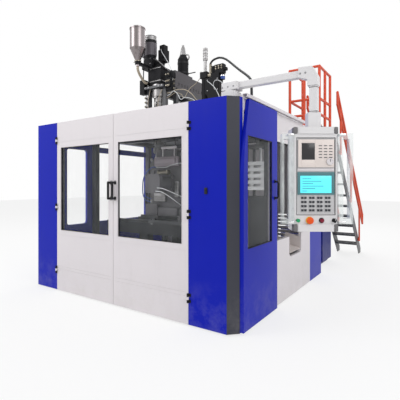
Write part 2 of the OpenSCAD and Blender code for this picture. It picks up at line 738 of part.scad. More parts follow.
// Mould halves with the cavity of a small canister
cavity_w = 190;
cavity_z0 = mould_z0 + 50;
cavity_z1 = cavity_z0 + 290;
cavity_deep = 78;
neck_r = 26;
module cavity_outline() {
  polygon([
    [-cavity_w / 2 + 18, cavity_z0], [cavity_w / 2 - 18, cavity_z0], [cavity_w / 2, cavity_z0 + 18],
    [cavity_w / 2, cavity_z1 - 60], [cavity_w / 2 - 22, cavity_z1 - 18], [neck_r + 14, cavity_z1],
    [-neck_r - 14, cavity_z1], [-cavity_w / 2 + 22, cavity_z1 - 18], [-cavity_w / 2, cavity_z1 - 60],
    [-cavity_w / 2, cavity_z0 + 18]
  ]);
}
module mould_half(y0, y1, inward) {
  difference() {
    box(blow_x - mould_w / 2, y0, mould_z0, blow_x + mould_w / 2, y1, mould_z1);
    translate([blow_x, 0, 0]) plate_xz(-cavity_deep, cavity_deep) cavity_outline();
    rod_z(blow_x, 0, cavity_z1 - 2, mould_z1 + 1, neck_r);
    for (z = [mould_z0 + 70, mould_z0 + mould_h / 2, mould_z1 - 110])
      for (s = [-1, 1])
        box(blow_x + s * mould_w / 2 - 6, y0 - 1, z, blow_x + s * mould_w / 2 + 6, y1 + 1, z + 8);
  }
  for (z = [mould_z0 + 120, mould_z0 + 180, mould_z1 - 160])
    rod_x(blow_x + mould_w / 2, blow_x + mould_w / 2 + 26, (y0 + y1) / 2 - inward * 10, z, 11);
}
module front_mould() color("silver") mould_half(-mould_t, -mould_gap / 2, 1);
module rear_mould() color("silver") mould_half(mould_gap / 2, mould_t, -1);

// Trim station to the right of the blow station
trim_half = 170;
trim_base_z = 1180;
trim_top_z = 1860;
trim_post_r = 20;
trim_layers = 5;
layer_t = 46;
layer_pitch = 78;
trim_stack_z0 = 1320;
module trim_posts(z0, z1, r) {
  for (sx = [-1, 1]) for (sy = [-1, 1])
    rod_z(trim_x + sx * (trim_half - 35), sy * 105, z0, z1, r);
}
module trim_frame() color("dimgray") {
  box(trim_x - 120, -110, base_z, trim_x + 120, 110, trim_base_z + weld);
  plate_xy(trim_base_z, trim_base_z + 60)
    translate([trim_x, 0]) polygon(rounded(-trim_half, -150, trim_half, 150, 15));
  trim_posts(trim_base_z + 60 - weld, trim_top_z + weld, trim_post_r);
  difference() {
    union() {
      plate_xy(trim_top_z, trim_top_z + 35)
        translate([trim_x, 0]) polygon(rounded(-trim_half, -150, trim_half, 150, 15));
      rod_z(trim_x, 0, trim_top_z + 35 - weld, ring_z0, 55);
    }
    rod_z(trim_x, 0, trim_top_z - 1, trim_top_z + 200, 18 + fit);
  }
}
module trim_plates() color("silver") {
  difference() {
    union() {
      for (i = [0:trim_layers - 1])
        box(trim_x - trim_half + 5, -142, trim_stack_z0 + i * layer_pitch, trim_x + trim_half - 5, 142,
          trim_stack_z0 + i * layer_pitch + layer_t);
      for (s = [-1, 1])
        box(trim_x + s * 70 - 22, -100, trim_stack_z0, trim_x + s * 70 + 22, 100,
          trim_stack_z0 + (trim_layers - 1) * layer_pitch + layer_t);
    }
    trim_posts(trim_stack_z0 - 1, trim_top_z, trim_post_r + fit);
  }
  rod_z(trim_x, 0, trim_stack_z0 + (trim_layers - 1) * layer_pitch + layer_t, trim_top_z + 90, 18);
}

// Die head, parison control and head frame
leg_dx = 160;
leg_y = [-60, 200];
module extruder_frame() color("dimgray") {
  difference() {
    plate_xy(plate_hz0, plate_hz1)
      translate([head_x, 0]) polygon(rounded(-leg_dx - 30, leg_y[0] - 90, leg_dx + 30, leg_y[1] + 30, 10));
    rod_z(head_x, 0, plate_hz0 - 1, plate_hz1 + 1, head_r + 1);
  }
  for (dx = [-leg_dx, leg_dx]) for (y = leg_y)
    box(head_x + dx - 30, y - 30, roof_z, head_x + dx + 30, y + 30, plate_hz0 + weld);
  for (y = [guard_y0 - 125, guard_y0 - 60])
    box(head_x - leg_dx - 30, y, plate_hz1 - weld, head_x - leg_dx + 20, y + 50, stripe_plate_z1 - 40);
  tower_y1 = tower_y + 80;
  for (s = [-1, 1]) {
    bx = head_x + s * beam_x;
    box(bx - beam_w / 2, leg_y[1] + 30 - weld, beam_z1 - beam_h, bx + beam_w / 2, beam_y1, beam_z1);
    box(bx - beam_w / 2, in_d - 80, roof_z, bx + beam_w / 2, in_d, beam_z1 - beam_h + weld);
    box(bx - beam_w / 2, tower_y, 20 - weld, bx + beam_w / 2, tower_y1, beam_z1 - beam_h + weld);
    box(bx - 75, tower_y - 40, 0, bx + 75, tower_y1 + 40, 20);
  }
  tie_half = beam_x - beam_w / 2 + weld;
  for (y = [700, tower_y])
    box(head_x - tie_half, y, beam_z1 - beam_h, head_x + tie_half, y + 80, beam_z1 - 20);
  for (z = [700, 1700])
    box(head_x - tie_half, tower_y + 10, z, head_x + tie_half, tower_y1 - 10, z + 60);
}
module die_head() color("lightslategray") difference() {
  union() {
    rod_z(head_x, 0, plate_hz1, plate_hz1 + 30, head_r + 50);
    rod_z(head_x, 0, plate_hz1, block_z1, block_r);
    rod_z(head_x, 0, die_z + 190, plate_hz1, head_r);
    rod_z(head_x, 0, die_z + 130, die_z + 190, head_r + 22);
    rod_z(head_x, 0, die_z + 60, die_z + 130, head_r - 8);
    translate([head_x, 0, die_z]) cylinder(r1 = head_r - 23, r2 = head_r - 10, h = 60);
    for (i = [0:7])
      translate([head_x, 0, 0]) rotate([0, 0, 45 * i + 22.5]) rod_z(head_r + 8, 0, die_z + 115, die_z + 205, 9);
  }
  rod_z(head_x, 0, die_z + 120, block_z1 - 120, core_r + 14);
  rod_z(head_x, 0, block_z1 - 130, block_z1 + 1, core_r + fit);
  translate([head_x, 0, die_z - 1]) cylinder(r1 = core_r + 6, r2 = core_r + 14, h = 122);
}
core_piston_r = 50;
piston_z0 = block_z1 + 58;
module die_core() color("silver") {
  rod_z(head_x, 0, die_z - 6, piston_z0 + 4, core_r);
  rod_z(head_x, 0, piston_z0, piston_z0 + 24, core_piston_r - fit);
}
cyl_top = block_z1 + 110;
module parison_cylinder() color("black") difference() {
  union() {
    rod_z(head_x, 0, block_z1, block_z1 + 14, 98);
    rod_z(head_x, 0, block_z1 + 10, cyl_top, 59);
    for (z = [block_z1 + 14, cyl_top - 28])
      plate_xy(z, z + 28) translate([head_x, 0]) polygon(rounded(-61, -61, 61, 61, 14));
    for (sx = [-1, 1]) for (sy = [-1, 1]) rod_z(head_x + sx * 48, sy * 48, block_z1 + 14, cyl_top - 10, 7);
  }
  rod_z(head_x, 0, block_z1 + 40, cyl_top - 16, core_piston_r);
  rod_z(head_x, 0, block_z1 - 1, block_z1 + 60, core_r + fit);
}
module ring_band(r0, r1, h) {
  rotate_extrude() polygon([[r0, 0], [r1 - 2, 0], [r1, 4], [r1, h - 4], [r1 - 2, h], [r0, h]]);
}
barrel_bands = 6;
module heater_bands() color("silver") {
  for (i = [0:barrel_bands - 1])
    translate([head_x, 190 + i * 225, screw_z]) rotate([-90, 0, 0]) {
      ring_band(barrel_r + 0.3, barrel_r + 13, 190);
      translate([0, -barrel_r - 12, 95]) cube([40, 22, 60], center = true);
    }
  band_z0 = die_z + 240;
  band_pitch = (plate_hz0 - 200 - band_z0) / 3;
  for (i = [0:3]) {
    z = band_z0 + i * band_pitch;
    translate([head_x, 0, z]) ring_band(head_r + 0.3, head_r + 14, 190);
    box(head_x - 25, -head_r - 34, z + 60, head_x + 25, -head_r - 8, z + 130);
  }
}
module extruder_barrel() color("gray") difference() {
  union() {
    rod_y(head_x, block_r + 1, block_r + 36, screw_z, barrel_r + 22);
    rod_y(head_x, block_r + 36, throat_y0, screw_z, barrel_r);
    box(head_x - guard_half, throat_y0, beam_z1, head_x + guard_half, throat_y1, guard_z1);
    rod_y(head_x, throat_y1, gear_y0, screw_z, barrel_r + 30);
  }
  rod_y(head_x, block_r + 20, gear_y0 + 1, screw_z, screw_r + fit);
  rod_z(head_x, throat_y0 + 80, screw_z, guard_z1 + 1, spout_r);
}
screw_turns = 11;
flight_sides = 14;
screw_y0 = block_r + 30;
module extruder_screw() color("silver") {
  translate([head_x, throat_y1, screw_z]) rotate([90, 0, 0])
    linear_extrude(throat_y1 - screw_y0, twist = -360 * screw_turns, slices = screw_turns * 11,
      segments = flight_sides)
      polygon([for (i = [0:flight_sides - 1])
        let (a = 360 * i / flight_sides, r = i < 2 ? screw_r - 0.2 : screw_r * 0.7)
        [r * cos(a), r * sin(a)]]);
  rod_y(head_x, throat_y1, gear_y0 + 60, screw_z, 30);
}
guard_y0 = 170;
guard_step = 640;
guard_drop = 30;
guard_wall = 3;
module barrel_guard() color("dimgray") difference() {
  union() {
    box(head_x - guard_half, guard_y0, beam_z1, head_x + guard_half, guard_step, guard_z1);
    box(head_x - guard_half, guard_step - weld, beam_z1, head_x + guard_half, throat_y0 - 5, guard_z1 - guard_drop);
  }
  inner = guard_half - guard_wall;
  box(head_x - inner, guard_y0 + guard_wall, beam_z1 - 1, head_x + inner, guard_step - guard_wall,
    guard_z1 - guard_wall);
  box(head_x - inner, guard_step - 20, beam_z1 - 1, head_x + inner, throat_y0 - 4,
    guard_z1 - guard_drop - guard_wall);
  rod_y(head_x, guard_y0 - 10, guard_y0 + 10, screw_z, barrel_r + 20);
  for (i = [0:14])
    plate_yz(head_x - guard_half - 5, head_x + guard_half + 5)
      polygon(rounded(260 + 80 * i, beam_z1 + 30, 275 + 80 * i, beam_z1 + 90, 7, 3));
}
module extruder_gearbox() color("slategray") difference() {
  union() {
    plate_xz(gear_y0, gear_y1) translate([head_x, 0])
      polygon(rounded(-guard_half, beam_z1, guard_half, guard_z1 + 70, 30));
    for (z = [beam_z1 + 70, beam_z1 + 160, beam_z1 + 250])
      box(head_x - guard_half - 10, gear_y0 + 40, z, head_x + guard_half + 10, gear_y1 - 40, z + 12);
  }
  rod_y(head_x, gear_y0 - 1, gear_y0 + 80, screw_z, 30 + fit);
}
motor_r = 150;
module extruder_motor() color("darkslategray") {
  rod_y(head_x, gear_y1, gear_y1 + 24, screw_z, 128);
  rod_y(head_x, gear_y1 + 24, gear_y1 + 400, screw_z, motor_r - 22);
  for (i = [0:23])
    translate([head_x, 0, screw_z]) rotate([0, 15 * i, 0])
      box(motor_r - 26, gear_y1 + 40, -3, motor_r, gear_y1 + 380, 3);
  rod_y(head_x, gear_y1 + 400, gear_y1 + 490, screw_z, motor_r);
  box(head_x - beam_x - 20, gear_y1 + 80, beam_z1, head_x + beam_x + 20, gear_y1 + 340, beam_z1 + 18);
  box(head_x - 60, gear_y1 + 120, screw_z + 120, head_x + 60, gear_y1 + 260, screw_z + 205);
}
module hopper(x, y, z0, r, cone_h, body_high) {
  translate([x, y, z0]) rotate_extrude() polygon([
    [0, 0], [spout_r + 5, 0], [r - 3, cone_h - 8], [r, cone_h], [r, cone_h + body_high], [r + 5, cone_h + body_high],
    [r + 5, cone_h + body_high + 14], [r - 10, cone_h + body_high + 26], [0, cone_h + body_high + 34]
  ]);
}
module material_hoppers() color("silver") {
  hopper(stripe_x, hopper_y, stripe_plate_z1, 118, 200, 281);
  rod_z(stripe_x, hopper_y, stripe_plate_z1 - 70, stripe_plate_z1, spout_r);
  hopper(head_x, throat_y0 + 80, guard_z1, 110, 120, 220);
}
module stripe_extruder() color("dimgray") {
  z1 = stripe_plate_z1;
  difference() {
    union() {
      plate_xy(z1 - 40, z1) polygon(rounded(stripe_x - 120, -120, stripe_x + 80, leg_y[1] + 40, 20));
      box(stripe_x - 26, hopper_y, z1 - 40, stripe_x + 26, -110, z1);
      rod_z(stripe_x, hopper_y, z1 - 40, z1, spout_r + 17);
    }
    rod_z(stripe_x, hopper_y, z1 - 41, z1 + 1, spout_r + 0.3);
  }
  plate_xy(z1, z1 + 120) translate([stripe_x, stripe_y]) polygon(rounded(-84, -84, 84, 84, 22));
  translate([stripe_x, stripe_y, z1 + 120]) cylinder(r1 = 84, r2 = 90, h = 48);
  rod_z(stripe_x, stripe_y, z1 + 168, z1 + 378, 86);
  for (i = [0:6]) rod_z(stripe_x, stripe_y, z1 + 186 + 28 * i, z1 + 194 + 28 * i, 91);
  rod_z(stripe_x, stripe_y, z1 + 378, z1 + 472, 92);
  rod_z(stripe_x, stripe_y, plate_hz1 + 30, z1 - 40, 42);
  rod_y(stripe_x, stripe_y - 90, stripe_y - 30, feed_z, 22);
  difference() {
    box(stripe_x - 33, stripe_y - 28, plate_hz1 + 31, stripe_x + 70, stripe_y + 28, plate_hz1 + 80);
    rod_z(head_x, 0, plate_hz1 + 30, plate_hz1 + 81, block_r + 0.3);
  }
}
hopper_hose_route = [
  [0, 0, 0], [0, 0, -20], [0, 0, -40], [-4, 30, -90], [-6, 90, -150], [-3, 140, -195], [0, 168, -206],
  [0, 185, -206], [0, 202, -206]
];
module hopper_hose() color("tan")
  translate([stripe_x, hopper_y, stripe_plate_z1 - 70.3])
    swept_tube([for (p = hopper_hose_route) [p[0], p[1] * (stripe_y - 90.3 - hopper_y) / 202,
      p[2] * (stripe_plate_z1 - 70.3 - feed_z) / 206]], 19, [1, 0, 0], 4);

// Hydraulic parts on the roof
acc_x = head_x + 50;
acc_y = 539;
acc_z1 = guard_z1 + 291;
module valve_blocks() color("black") {
  box(head_x - 5, -32, cyl_top, head_x + 115, 88, cyl_top + 180);
  box(head_x + 10, -18, cyl_top + 180, head_x + 100, 74, cyl_top + 255);
  rod_y(head_x + 100, -66, -30, cyl_top + 75, 22);
  rod_z(acc_x, acc_y, guard_z1, acc_z1, 90);
  translate([acc_x, acc_y, acc_z1]) cylinder(r1 = 90, r2 = 52, h = 70);
  translate([acc_x, acc_y, acc_z1 + 70]) cylinder(r1 = 52, r2 = 30, h = 129);
  rod_x(acc_x + 86, acc_x + 250, acc_y, guard_z1 + 40, 8);
  box(head_x - leg_dx - 122, leg_y[0] - 90, beam_z1 - 130, head_x - leg_dx - 30, leg_y[0] - 5, beam_z1 + 92);
  top = column_z1 - 13;
  difference() {
    box(blow_x + 30, -60, top - 228, blow_x + 255, 60, top);
    rod_z(blow_x, 0, top - 229, top + 1, column_r + 0.3);
  }
  box(blow_x + 120, -48, top, blow_x + 250, 48, top + 60);
  rod_z(blow_x + 140, 0, top + 60, top + 166, 30);
  box(blow_x + 175, -40, top + 48, blow_x + 313, 40, top + 168);
  rod_z(blow_x + 285, 0, top - 40, top + 60, 32);
  rod_x(blow_x + 313, blow_x + 352, 0, top + 95, 26);
}

blow_base_z = roof_z + 20;
column_z1 = roof_z + column_rise;
flange_z1 = column_z1 + 85;
column_in_r = column_r - 5;
module blow_column() color("black") difference() {
  union() {
    box(blow_x - 150, -230, roof_z, blow_x + 150, 230, blow_base_z);
    rod_z(blow_x, 0, blow_base_z - weld, column_z1 + weld, column_r);
    plate_xy(column_z1, flange_z1) translate([blow_x, 0]) polygon(rounded(-60, -60, 60, 60, 12));
    for (sx = [-1, 1]) for (sy = [-1, 1]) rod_z(blow_x + sx * 44, sy * 44, flange_z1 - weld, flange_z1 + 10, 8);
  }
  rod_z(blow_x, 0, blow_base_z, column_z1, column_in_r);
  rod_z(blow_x, 0, roof_z - 1, flange_z1 + 1, blow_rod_r + fit);
}
bc_z0 = blow_base_z + 208;
bc_z1 = column_z1 - 125;
bc_bore_r = 38;
module blow_cylinder() color("gray") difference() {
  rod_z(blow_x, 0, bc_z0, bc_z1, column_in_r - 0.3);
  rod_z(blow_x, 0, bc_z0 + 40, bc_z1 - 40, bc_bore_r);
  rod_z(blow_x, 0, bc_z0 - 1, bc_z1 + 1, blow_rod_r + fit);
}
pin_z0 = tie_high_z + tie_r + 15;
pin_block_z = pin_z0 + 98;
module blow_slide() color("silver") {
  rod_z(blow_x, 0, pin_block_z + 100, flange_z1 + blow_stroke + 20, blow_rod_r);
  rod_z(blow_x, 0, flange_z1 + blow_stroke + 12, flange_z1 + blow_stroke + 184, 32);
  rod_z(blow_x, 0, bc_z1 - 110, bc_z1 - 70, bc_bore_r - fit);
  plate_xy(pin_block_z, pin_block_z + 100) translate([blow_x, 0]) polygon(rounded(-60, -60, 60, 60, 12));
  rod_z(blow_x, 0, pin_z0 + 14, pin_block_z, blow_pin_r);
  translate([blow_x, 0, pin_z0]) cylinder(r1 = blow_pin_r - 6, r2 = blow_pin_r, h = 14);
  for (s = [-1, 1]) rod_x(blow_x + s * 75 - 15, blow_x + s * 75 + 15, 0, pin_block_z + 60, 10);
}

blow_hose_route = [
  [0, 0, 0], [0, 0, 20], [0, 0, 40], [60, -20, 72], [190, -75, 62], [360, -195, -30], [560, -355, -190],
  [735, -520, -330], [880, -660, -440], [1000, -795, -545], [1045, -870, -640], [1055, -885, -710]
];
module blow_hose() color("darkslategray")
  translate([blow_x + 100, -20, column_z1 + 155])
    swept_tube(concat(blow_hose_route, [for (up = [50, 25, 0.3]) [1055, -885, roof_z + up - column_z1 - 155]]),
      14, [1, 1.2, 0], 3);

// Hydraulic unit behind the body, under the stair
tank = [[700, 1990], [1450, 2560]];
tank_h = 560;
module hydraulic_unit() color("midnightblue") {
  for (x = [tank[0][0] + 60, tank[1][0] - 140])
    box(x, tank[0][1] + 20, 0, x + 80, tank[1][1] - 20, 60 + weld);
  box(tank[0][0], tank[0][1], 60, tank[1][0], tank[1][1], 60 + tank_h);
  tz = 60 + tank_h;
  for (y = [2170, 2290]) box(820, y, tz, 1160, y + 40, tz + 90);
  for (x = [960, 1060]) rod_y(x, half_d, tank[0][1] + 5, tz - 160, 24);
  rod_x(800, 1170, 2250, tz + 170, 110);
  rod_x(760, 800, 2250, tz + 170, 118);
  rod_x(1170, 1230, 2250, tz + 170, 84);
  rod_x(1230, 1370, 2250, tz + 170, 56);
  box(930, 2210, tz + 270, 1030, 2290, tz + 320);
  rod_z(tank[1][0] - 80, 2120, tz - weld, tz + 40, 42);
  rod_z(tank[0][0] + 120, 2460, tz - weld, tz + 50, 36);
}

// Landing on the roof and stair down to the floor
module stringer(x0, x1) {
  d = 105;
  plate_yz(x0, x1) polygon([
    [foot_y, 0], [foot_y - 190, 0], [deck_y1 - weld, stair_rise - d], [deck_y1 - weld, deck_z1 - 6],
    [deck_y1 + 40, deck_z1 - 6], [foot_y, 90]
  ]);
}
module stair() color("darkslategray") {
  stringer(stair_x0, stair_x0 + 10);
  stringer(stair_x1 - 10, stair_x1);
  for (i = [1:treads]) {
    z = i * stair_rise / (treads + 1);
    y = foot_y - z / stair_slope;
    difference() {
      box(stair_x0 + 10 - weld, y - 200, z, stair_x1 - 10 + weld, y + 40, z + 30);
      for (k = [0:3])
        box(stair_x0 + 30, y - 180 + 54 * k, z - 1, stair_x1 - 30, y - 144 + 54 * k, z + 31);
    }
  }
  box(deck_x0, deck_y0, deck_z1 - 8, deck_x1, deck_y1, deck_z1);
  under = deck_z1 - 8 + weld;
  box(deck_x0, deck_y0, body_h, deck_x0 + 50, deck_y1, under);
  box(deck_x1 - 50, deck_y0, roof_z - 70, deck_x1, deck_y1, under);
  for (y = [deck_y0, in_d - 60]) {
    box(deck_x0 + 50 - weld, y, body_h, deck_x1 - 50 + weld, y + 50, under);
    for (x = [deck_x0, in_w - 80])
      box(x, y, roof_z, x + 50, y + 50, body_h + weld);
  }
}
joint_r = rail_r + 0.6;
bar_r = rail_r - 1.5;
module rail_path(points, closed = false) {
  n = len(points);
  for (i = [0:n - (closed ? 1 : 2)]) tube_between(points[i], points[(i + 1) % n], bar_r);
  for (p = points) translate(p) sphere(r = joint_r);
}
cage_x0 = deck_x0 + 20;
cage_x1 = deck_x1 - 20;
cage_y0 = deck_y0 + 20;
cage_y1 = deck_y1 - 20;
module cage_post(x, y, top) {
  rod_z(x, y, deck_z1, top, rail_r);
  box(x - 30, y - 20, deck_z1, x + 30, y + 20, deck_z1 + 8);
}
rail_gap = rail_r + 4;
rail_end = foot_y + 60;
rail_top = deck_z1 + 603;
rail_low = 780;
rail_pair = 190;
post_r = rail_r - 4;
module stair_rail(face, side) {
  x = face + side * rail_gap;
  rail_path([
    [x, deck_y1 + 60, rail_top - rail_pair], [x, deck_y1 + 60, rail_top],
    [x, rail_end, rail_low], [x, rail_end, rail_low - rail_pair]
  ], true);
  for (t = [0.1, 0.47, 0.84]) {
    y = deck_y1 + 60 + t * (rail_end - deck_y1 - 60);
    z = stair_slope * (foot_y - y);
    tube_between([x, y, z - 20], [x, y, rail_top + (rail_low - rail_top) * t], post_r);
    box(min(face, x), y - 14, z - 10, max(face, x), y + 14, z + 40);
  }
}
module handrails() color("orangered") {
  top = deck_z1 + rail_h;
  for (y = [cage_y0, cage_y1]) for (x = [cage_x0, cage_x1]) cage_post(x, y, top);
  cage_post((cage_x0 + cage_x1) / 2, cage_y0, top);
  cage_post(cage_x1, (cage_y0 + cage_y1) / 2, top);
  for (z = [deck_z1 + 165, deck_z1 + 390, top])
    rail_path([[cage_x0, cage_y1, z], [cage_x0, cage_y0, z], [cage_x1, cage_y0, z], [cage_x1, cage_y1, z]]);
  stair_rail(stair_x0, -1);
  stair_rail(stair_x1, 1);
}

// Operator pendant
module arm_turret() color("silver") {
  plate_xy(roof_z, turret_z1 - 14)
    translate([turret_x, arm_y]) polygon(rounded(-75, -75, 75, 75, 14));
  rod_z(turret_x, arm_y, turret_z1 - 14 - weld, turret_z1, 68);
  rod_z(turret_x, arm_y, turret_z1 - weld, turret_z1 + 50, arm_pin_r);
}
module pendant_arm() color("silver") {
  z0 = turret_z1 + shoe_gap;
  difference() {
    plate_xy(z0, arm_z1)
      translate([turret_x, arm_y]) polygon(rounded(-80, -62, 95, 62, 14));
    rod_z(turret_x, arm_y, z0 - 1, turret_z1 + 55, arm_pin_r + fit);
  }
  plate_yz(turret_x + 95 - weld, column_x - 110) translate([arm_y, 0])
    polygon(rounded(-31, arm_z0, 31, arm_z1, 8));
  elbow_z0 = arm_z0 - 82;
  plate_xz(arm_y - 44, arm_y + 44) translate([column_x, 0]) polygon([
    [-121, arm_z0 - 1], [-46, arm_z0 - 26], [-46, elbow_z0], [37, elbow_z0], [37, arm_z0 - 6],
    [-7, arm_z1 + 16], [-121, arm_z1 + 22]
  ]);
  plate_xy(pendant_top + 130, elbow_z0 + weld)
    translate([column_x, arm_y]) polygon(rounded(-33, -33, 33, 33, 7));
  rod_z(column_x, arm_y, pendant_top + 30, pendant_top + 130 + weld, 30);
}
module at_pendant() {
  translate([column_x, arm_y, 0]) rotate([0, 0, pendant_yaw]) children();
}
// The housing hangs a little to the left of the column
panel_x = -16;
inset_w = 312;
inset_x0 = panel_x - inset_w / 2;
inset_x1 = panel_x + inset_w / 2;
inset_z0 = pendant_z + 139;
inset_z1 = pendant_z + 764;
end_bars = [[pendant_z, pendant_z + 60], [pendant_top - 56, pendant_top]];
module pendant_housing() color("silver") at_pendant() {
  difference() {
    union() {
      translate([panel_x, 0, 0]) {
        plate_xy(pendant_z + 60 - weld, pendant_top - 56 + weld)
          polygon(rounded(-panel_w / 2, face_y, panel_w / 2, -face_y, 14));
        for (z = end_bars)
          plate_xy(z[0], z[1]) polygon(rounded(-panel_w / 2 + 26, face_y - 8, panel_w / 2 - 26, -face_y, 20));
      }
      plate_xy(pendant_top - weld, pendant_top + 129.7) polygon(rounded(-64, -48, 44, 48, 10));
    }
    box(inset_x0, face_y - 20, inset_z0, inset_x1, face_y + 14, inset_z1);
    for (x = button_spots) rod_y(x, face_y - 1, face_y + 60, button_z, button_r + 0.3);
    rod_z(0, 0, pendant_top - 30, pendant_top + 140, 30 + fit);
  }
  for (sx = [-1, 1]) for (z = end_bars)
    box(panel_x + sx * (panel_w / 2 - 14) - 14, face_y + 6, z[0] + 4, panel_x + sx * (panel_w / 2 - 14) + 14,
      -face_y - 6, z[1] - 4);
}
handle_z0 = pendant_z + 62;
handle_z1 = pendant_z + 800;
grip_end = 44;
// Side, outer reach, and the two edges of the finger slot
grips = [[-1, 99, 39, 81], [1, 118, 38, 91]];
module pendant_handles() color("gainsboro") at_pendant() for (g = grips) {
  x0 = panel_w / 2;
  translate([panel_x, 0, 0]) plate_xz(face_y - 14, face_y + 46) difference() {
    polygon([
      [g[0] * x0, handle_z0], [g[0] * (x0 + g[1]), handle_z0],
      [g[0] * (x0 + g[1]), handle_z1], [g[0] * x0, handle_z1]
    ]);
    polygon([
      [g[0] * (x0 + g[2]), handle_z0 + grip_end], [g[0] * (x0 + g[3]), handle_z0 + grip_end],
      [g[0] * (x0 + g[3]), handle_z1 - grip_end], [g[0] * (x0 + g[2]), handle_z1 - grip_end]
    ]);
  }
}
module pendant_panel() color("gainsboro") at_pendant() translate([panel_x, 0, 0]) {
  y1 = face_y + 14;
  box(-inset_w / 2 + 0.3, y1 - 8, inset_z0 + 0.3, inset_w / 2 - 0.3, y1, inset_z1 - 0.3);
  difference() {
    box(-147, y1 - 20, inset_z0 + 385, 147, y1 - 8, inset_z1 - 12);
    box(-118, y1 - 21, inset_z0 + 448, -11, y1 - 16, inset_z0 + 583);
  }
  rod_y(112, y1 - 30, y1 - 20, inset_z0 + 432, 28);
  difference() {
    box(-151, y1 - 16, inset_z0 + 162, 151, y1 - 8, inset_z0 + 348);
    box(-128, y1 - 17, inset_z0 + 176, 128, y1 - 13, inset_z0 + 318);
  }
  for (g = [0:3]) for (i = [0:1]) for (j = [0:3])
    box(-120 + g * 65 + i * 25, y1 - 12, inset_z0 + 26 + j * 34, -101 + g * 65 + i * 25, y1 - 8,
      inset_z0 + 44 + j * 34);
}
// Sideways places of the three buttons and the selector
button_spots = [for (x = [-147, -52, 46, 148]) panel_x + x];
button_r = 13;
button_z = pendant_z + 91;
button_out = 12;
module push_button(x, cap_r, cap_h) {
  rod_y(x, face_y - button_out, face_y + 50 - button_travel, button_z, button_r);
  rod_y(x, face_y - button_out - cap_h, face_y - button_out, button_z, cap_r);
}
module start_button() color("limegreen") at_pendant() push_button(button_spots[0], 15, 5);
module stop_button() color("orangered") at_pendant() {
  push_button(button_spots[1], button_r, 1);
  translate([button_spots[1], face_y - button_out, button_z]) rotate([90, 0, 0]) rotate_extrude()
    polygon([[0, 0], [24, 0], [28, 5], [28, 11], [23, 17], [12, 20], [0, 21]]);
}
module motor_button() color("maroon") at_pendant() push_button(button_spots[2], 16, 5);
module selector_switch() color("black") at_pendant() {
  x = button_spots[3];
  rod_y(x, face_y - button_out, face_y + 45, button_z, button_r);
  rod_y(x, face_y - button_out - 6, face_y - button_out, button_z, 17);
  box(x - 5, face_y - button_out - 20, button_z - 17, x + 5, face_y - button_out - 6, button_z + 17);
}

base_frame();
machine_bed();
upper_frame();
roof_plates();
corner_strips();
blue_panels();
left_wall();
right_wall();
rear_wall();
wall_windows();
side_door_track();
door_hinges();
product_chute();
stair();
handrails();
hydraulic_unit();
extruder_frame();
barrel_guard();
extruder_barrel();
heater_bands();
extruder_gearbox();
extruder_motor();
material_hoppers();
die_head();
parison_cylinder();
stripe_extruder();
valve_blocks();
blow_column();
blow_cylinder();
trim_frame();
arm_turret();
hopper_hose();
blow_hose();
side_door();
side_door_window();
left_door();
left_door_window();
left_door_handle();
right_door();
right_door_window();
right_door_handle();
clamp_carriage();
clamp_frame();
clamp_cylinder();
clamp_hose();
front_platen();
front_mould();
rear_mould();
blow_slide();
die_core();
extruder_screw();
trim_plates();
pendant_arm();
pendant_housing();
pendant_handles();
pendant_panel();
start_button();
stop_button();
motor_button();
selector_switch();
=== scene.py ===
"""Looks of a guarded blow moulding machine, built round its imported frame."""

import json
import logging
import math
from dataclasses import dataclass
from enum import Enum
from typing import Any, Callable, Iterable, Optional, Sequence

import bmesh
import bpy
from mathutils import Matrix, Vector


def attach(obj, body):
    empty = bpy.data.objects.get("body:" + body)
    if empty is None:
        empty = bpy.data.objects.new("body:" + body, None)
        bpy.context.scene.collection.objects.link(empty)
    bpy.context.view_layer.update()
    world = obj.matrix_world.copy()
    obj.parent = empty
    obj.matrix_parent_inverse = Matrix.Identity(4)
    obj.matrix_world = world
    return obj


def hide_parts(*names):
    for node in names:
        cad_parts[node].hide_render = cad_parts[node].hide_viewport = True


LOG = logging.getLogger("machine")
Point = Sequence[float]

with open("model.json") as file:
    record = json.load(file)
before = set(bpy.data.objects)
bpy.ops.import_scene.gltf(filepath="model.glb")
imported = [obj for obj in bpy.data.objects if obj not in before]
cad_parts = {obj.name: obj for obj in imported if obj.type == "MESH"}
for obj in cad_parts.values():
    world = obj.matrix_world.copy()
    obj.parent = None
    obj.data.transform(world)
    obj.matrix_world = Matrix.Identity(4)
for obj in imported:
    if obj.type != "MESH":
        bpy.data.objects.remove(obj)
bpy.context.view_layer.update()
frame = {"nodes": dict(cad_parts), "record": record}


# Node helpers


def wire(tree: bpy.types.NodeTree, kind: str, ins: Optional[dict] = None,
         **props: Any) -> bpy.types.Node:
    """Add a node and feed its inputs.

    Args:
        tree: The node tree that gets the node.
        kind: The node's type.
        ins: Values or sockets by input name or number.
        props: Settings of the node itself.

    Returns:
        The new node.
    """
    node = tree.nodes.new(kind)
    for key, value in props.items():
        setattr(node, key, value)
    for key, value in (ins or {}).items():
        socket = node.inputs[key]
        if isinstance(value, bpy.types.NodeSocket):
            tree.links.new(value, socket)
        else:
            socket.default_value = value
    return node


def maths(tree: bpy.types.NodeTree, kind: str, first: Any, second: Any = 0.0,
          clamp: bool = False) -> bpy.types.NodeSocket:
    """Add a math node."""
    return wire(tree, "ShaderNodeMath", {0: first, 1: second}, operation=kind, use_clamp=clamp).outputs[0]


def blend(tree: bpy.types.NodeTree, amount: Any, first: Any, second: Any,
          kind: str = "MIX") -> bpy.types.NodeSocket:
    """Mix two colours."""
    node = wire(tree, "ShaderNodeMix", {0: amount, 6: first, 7: second}, data_type="RGBA", blend_type=kind)
    return node.outputs[2]


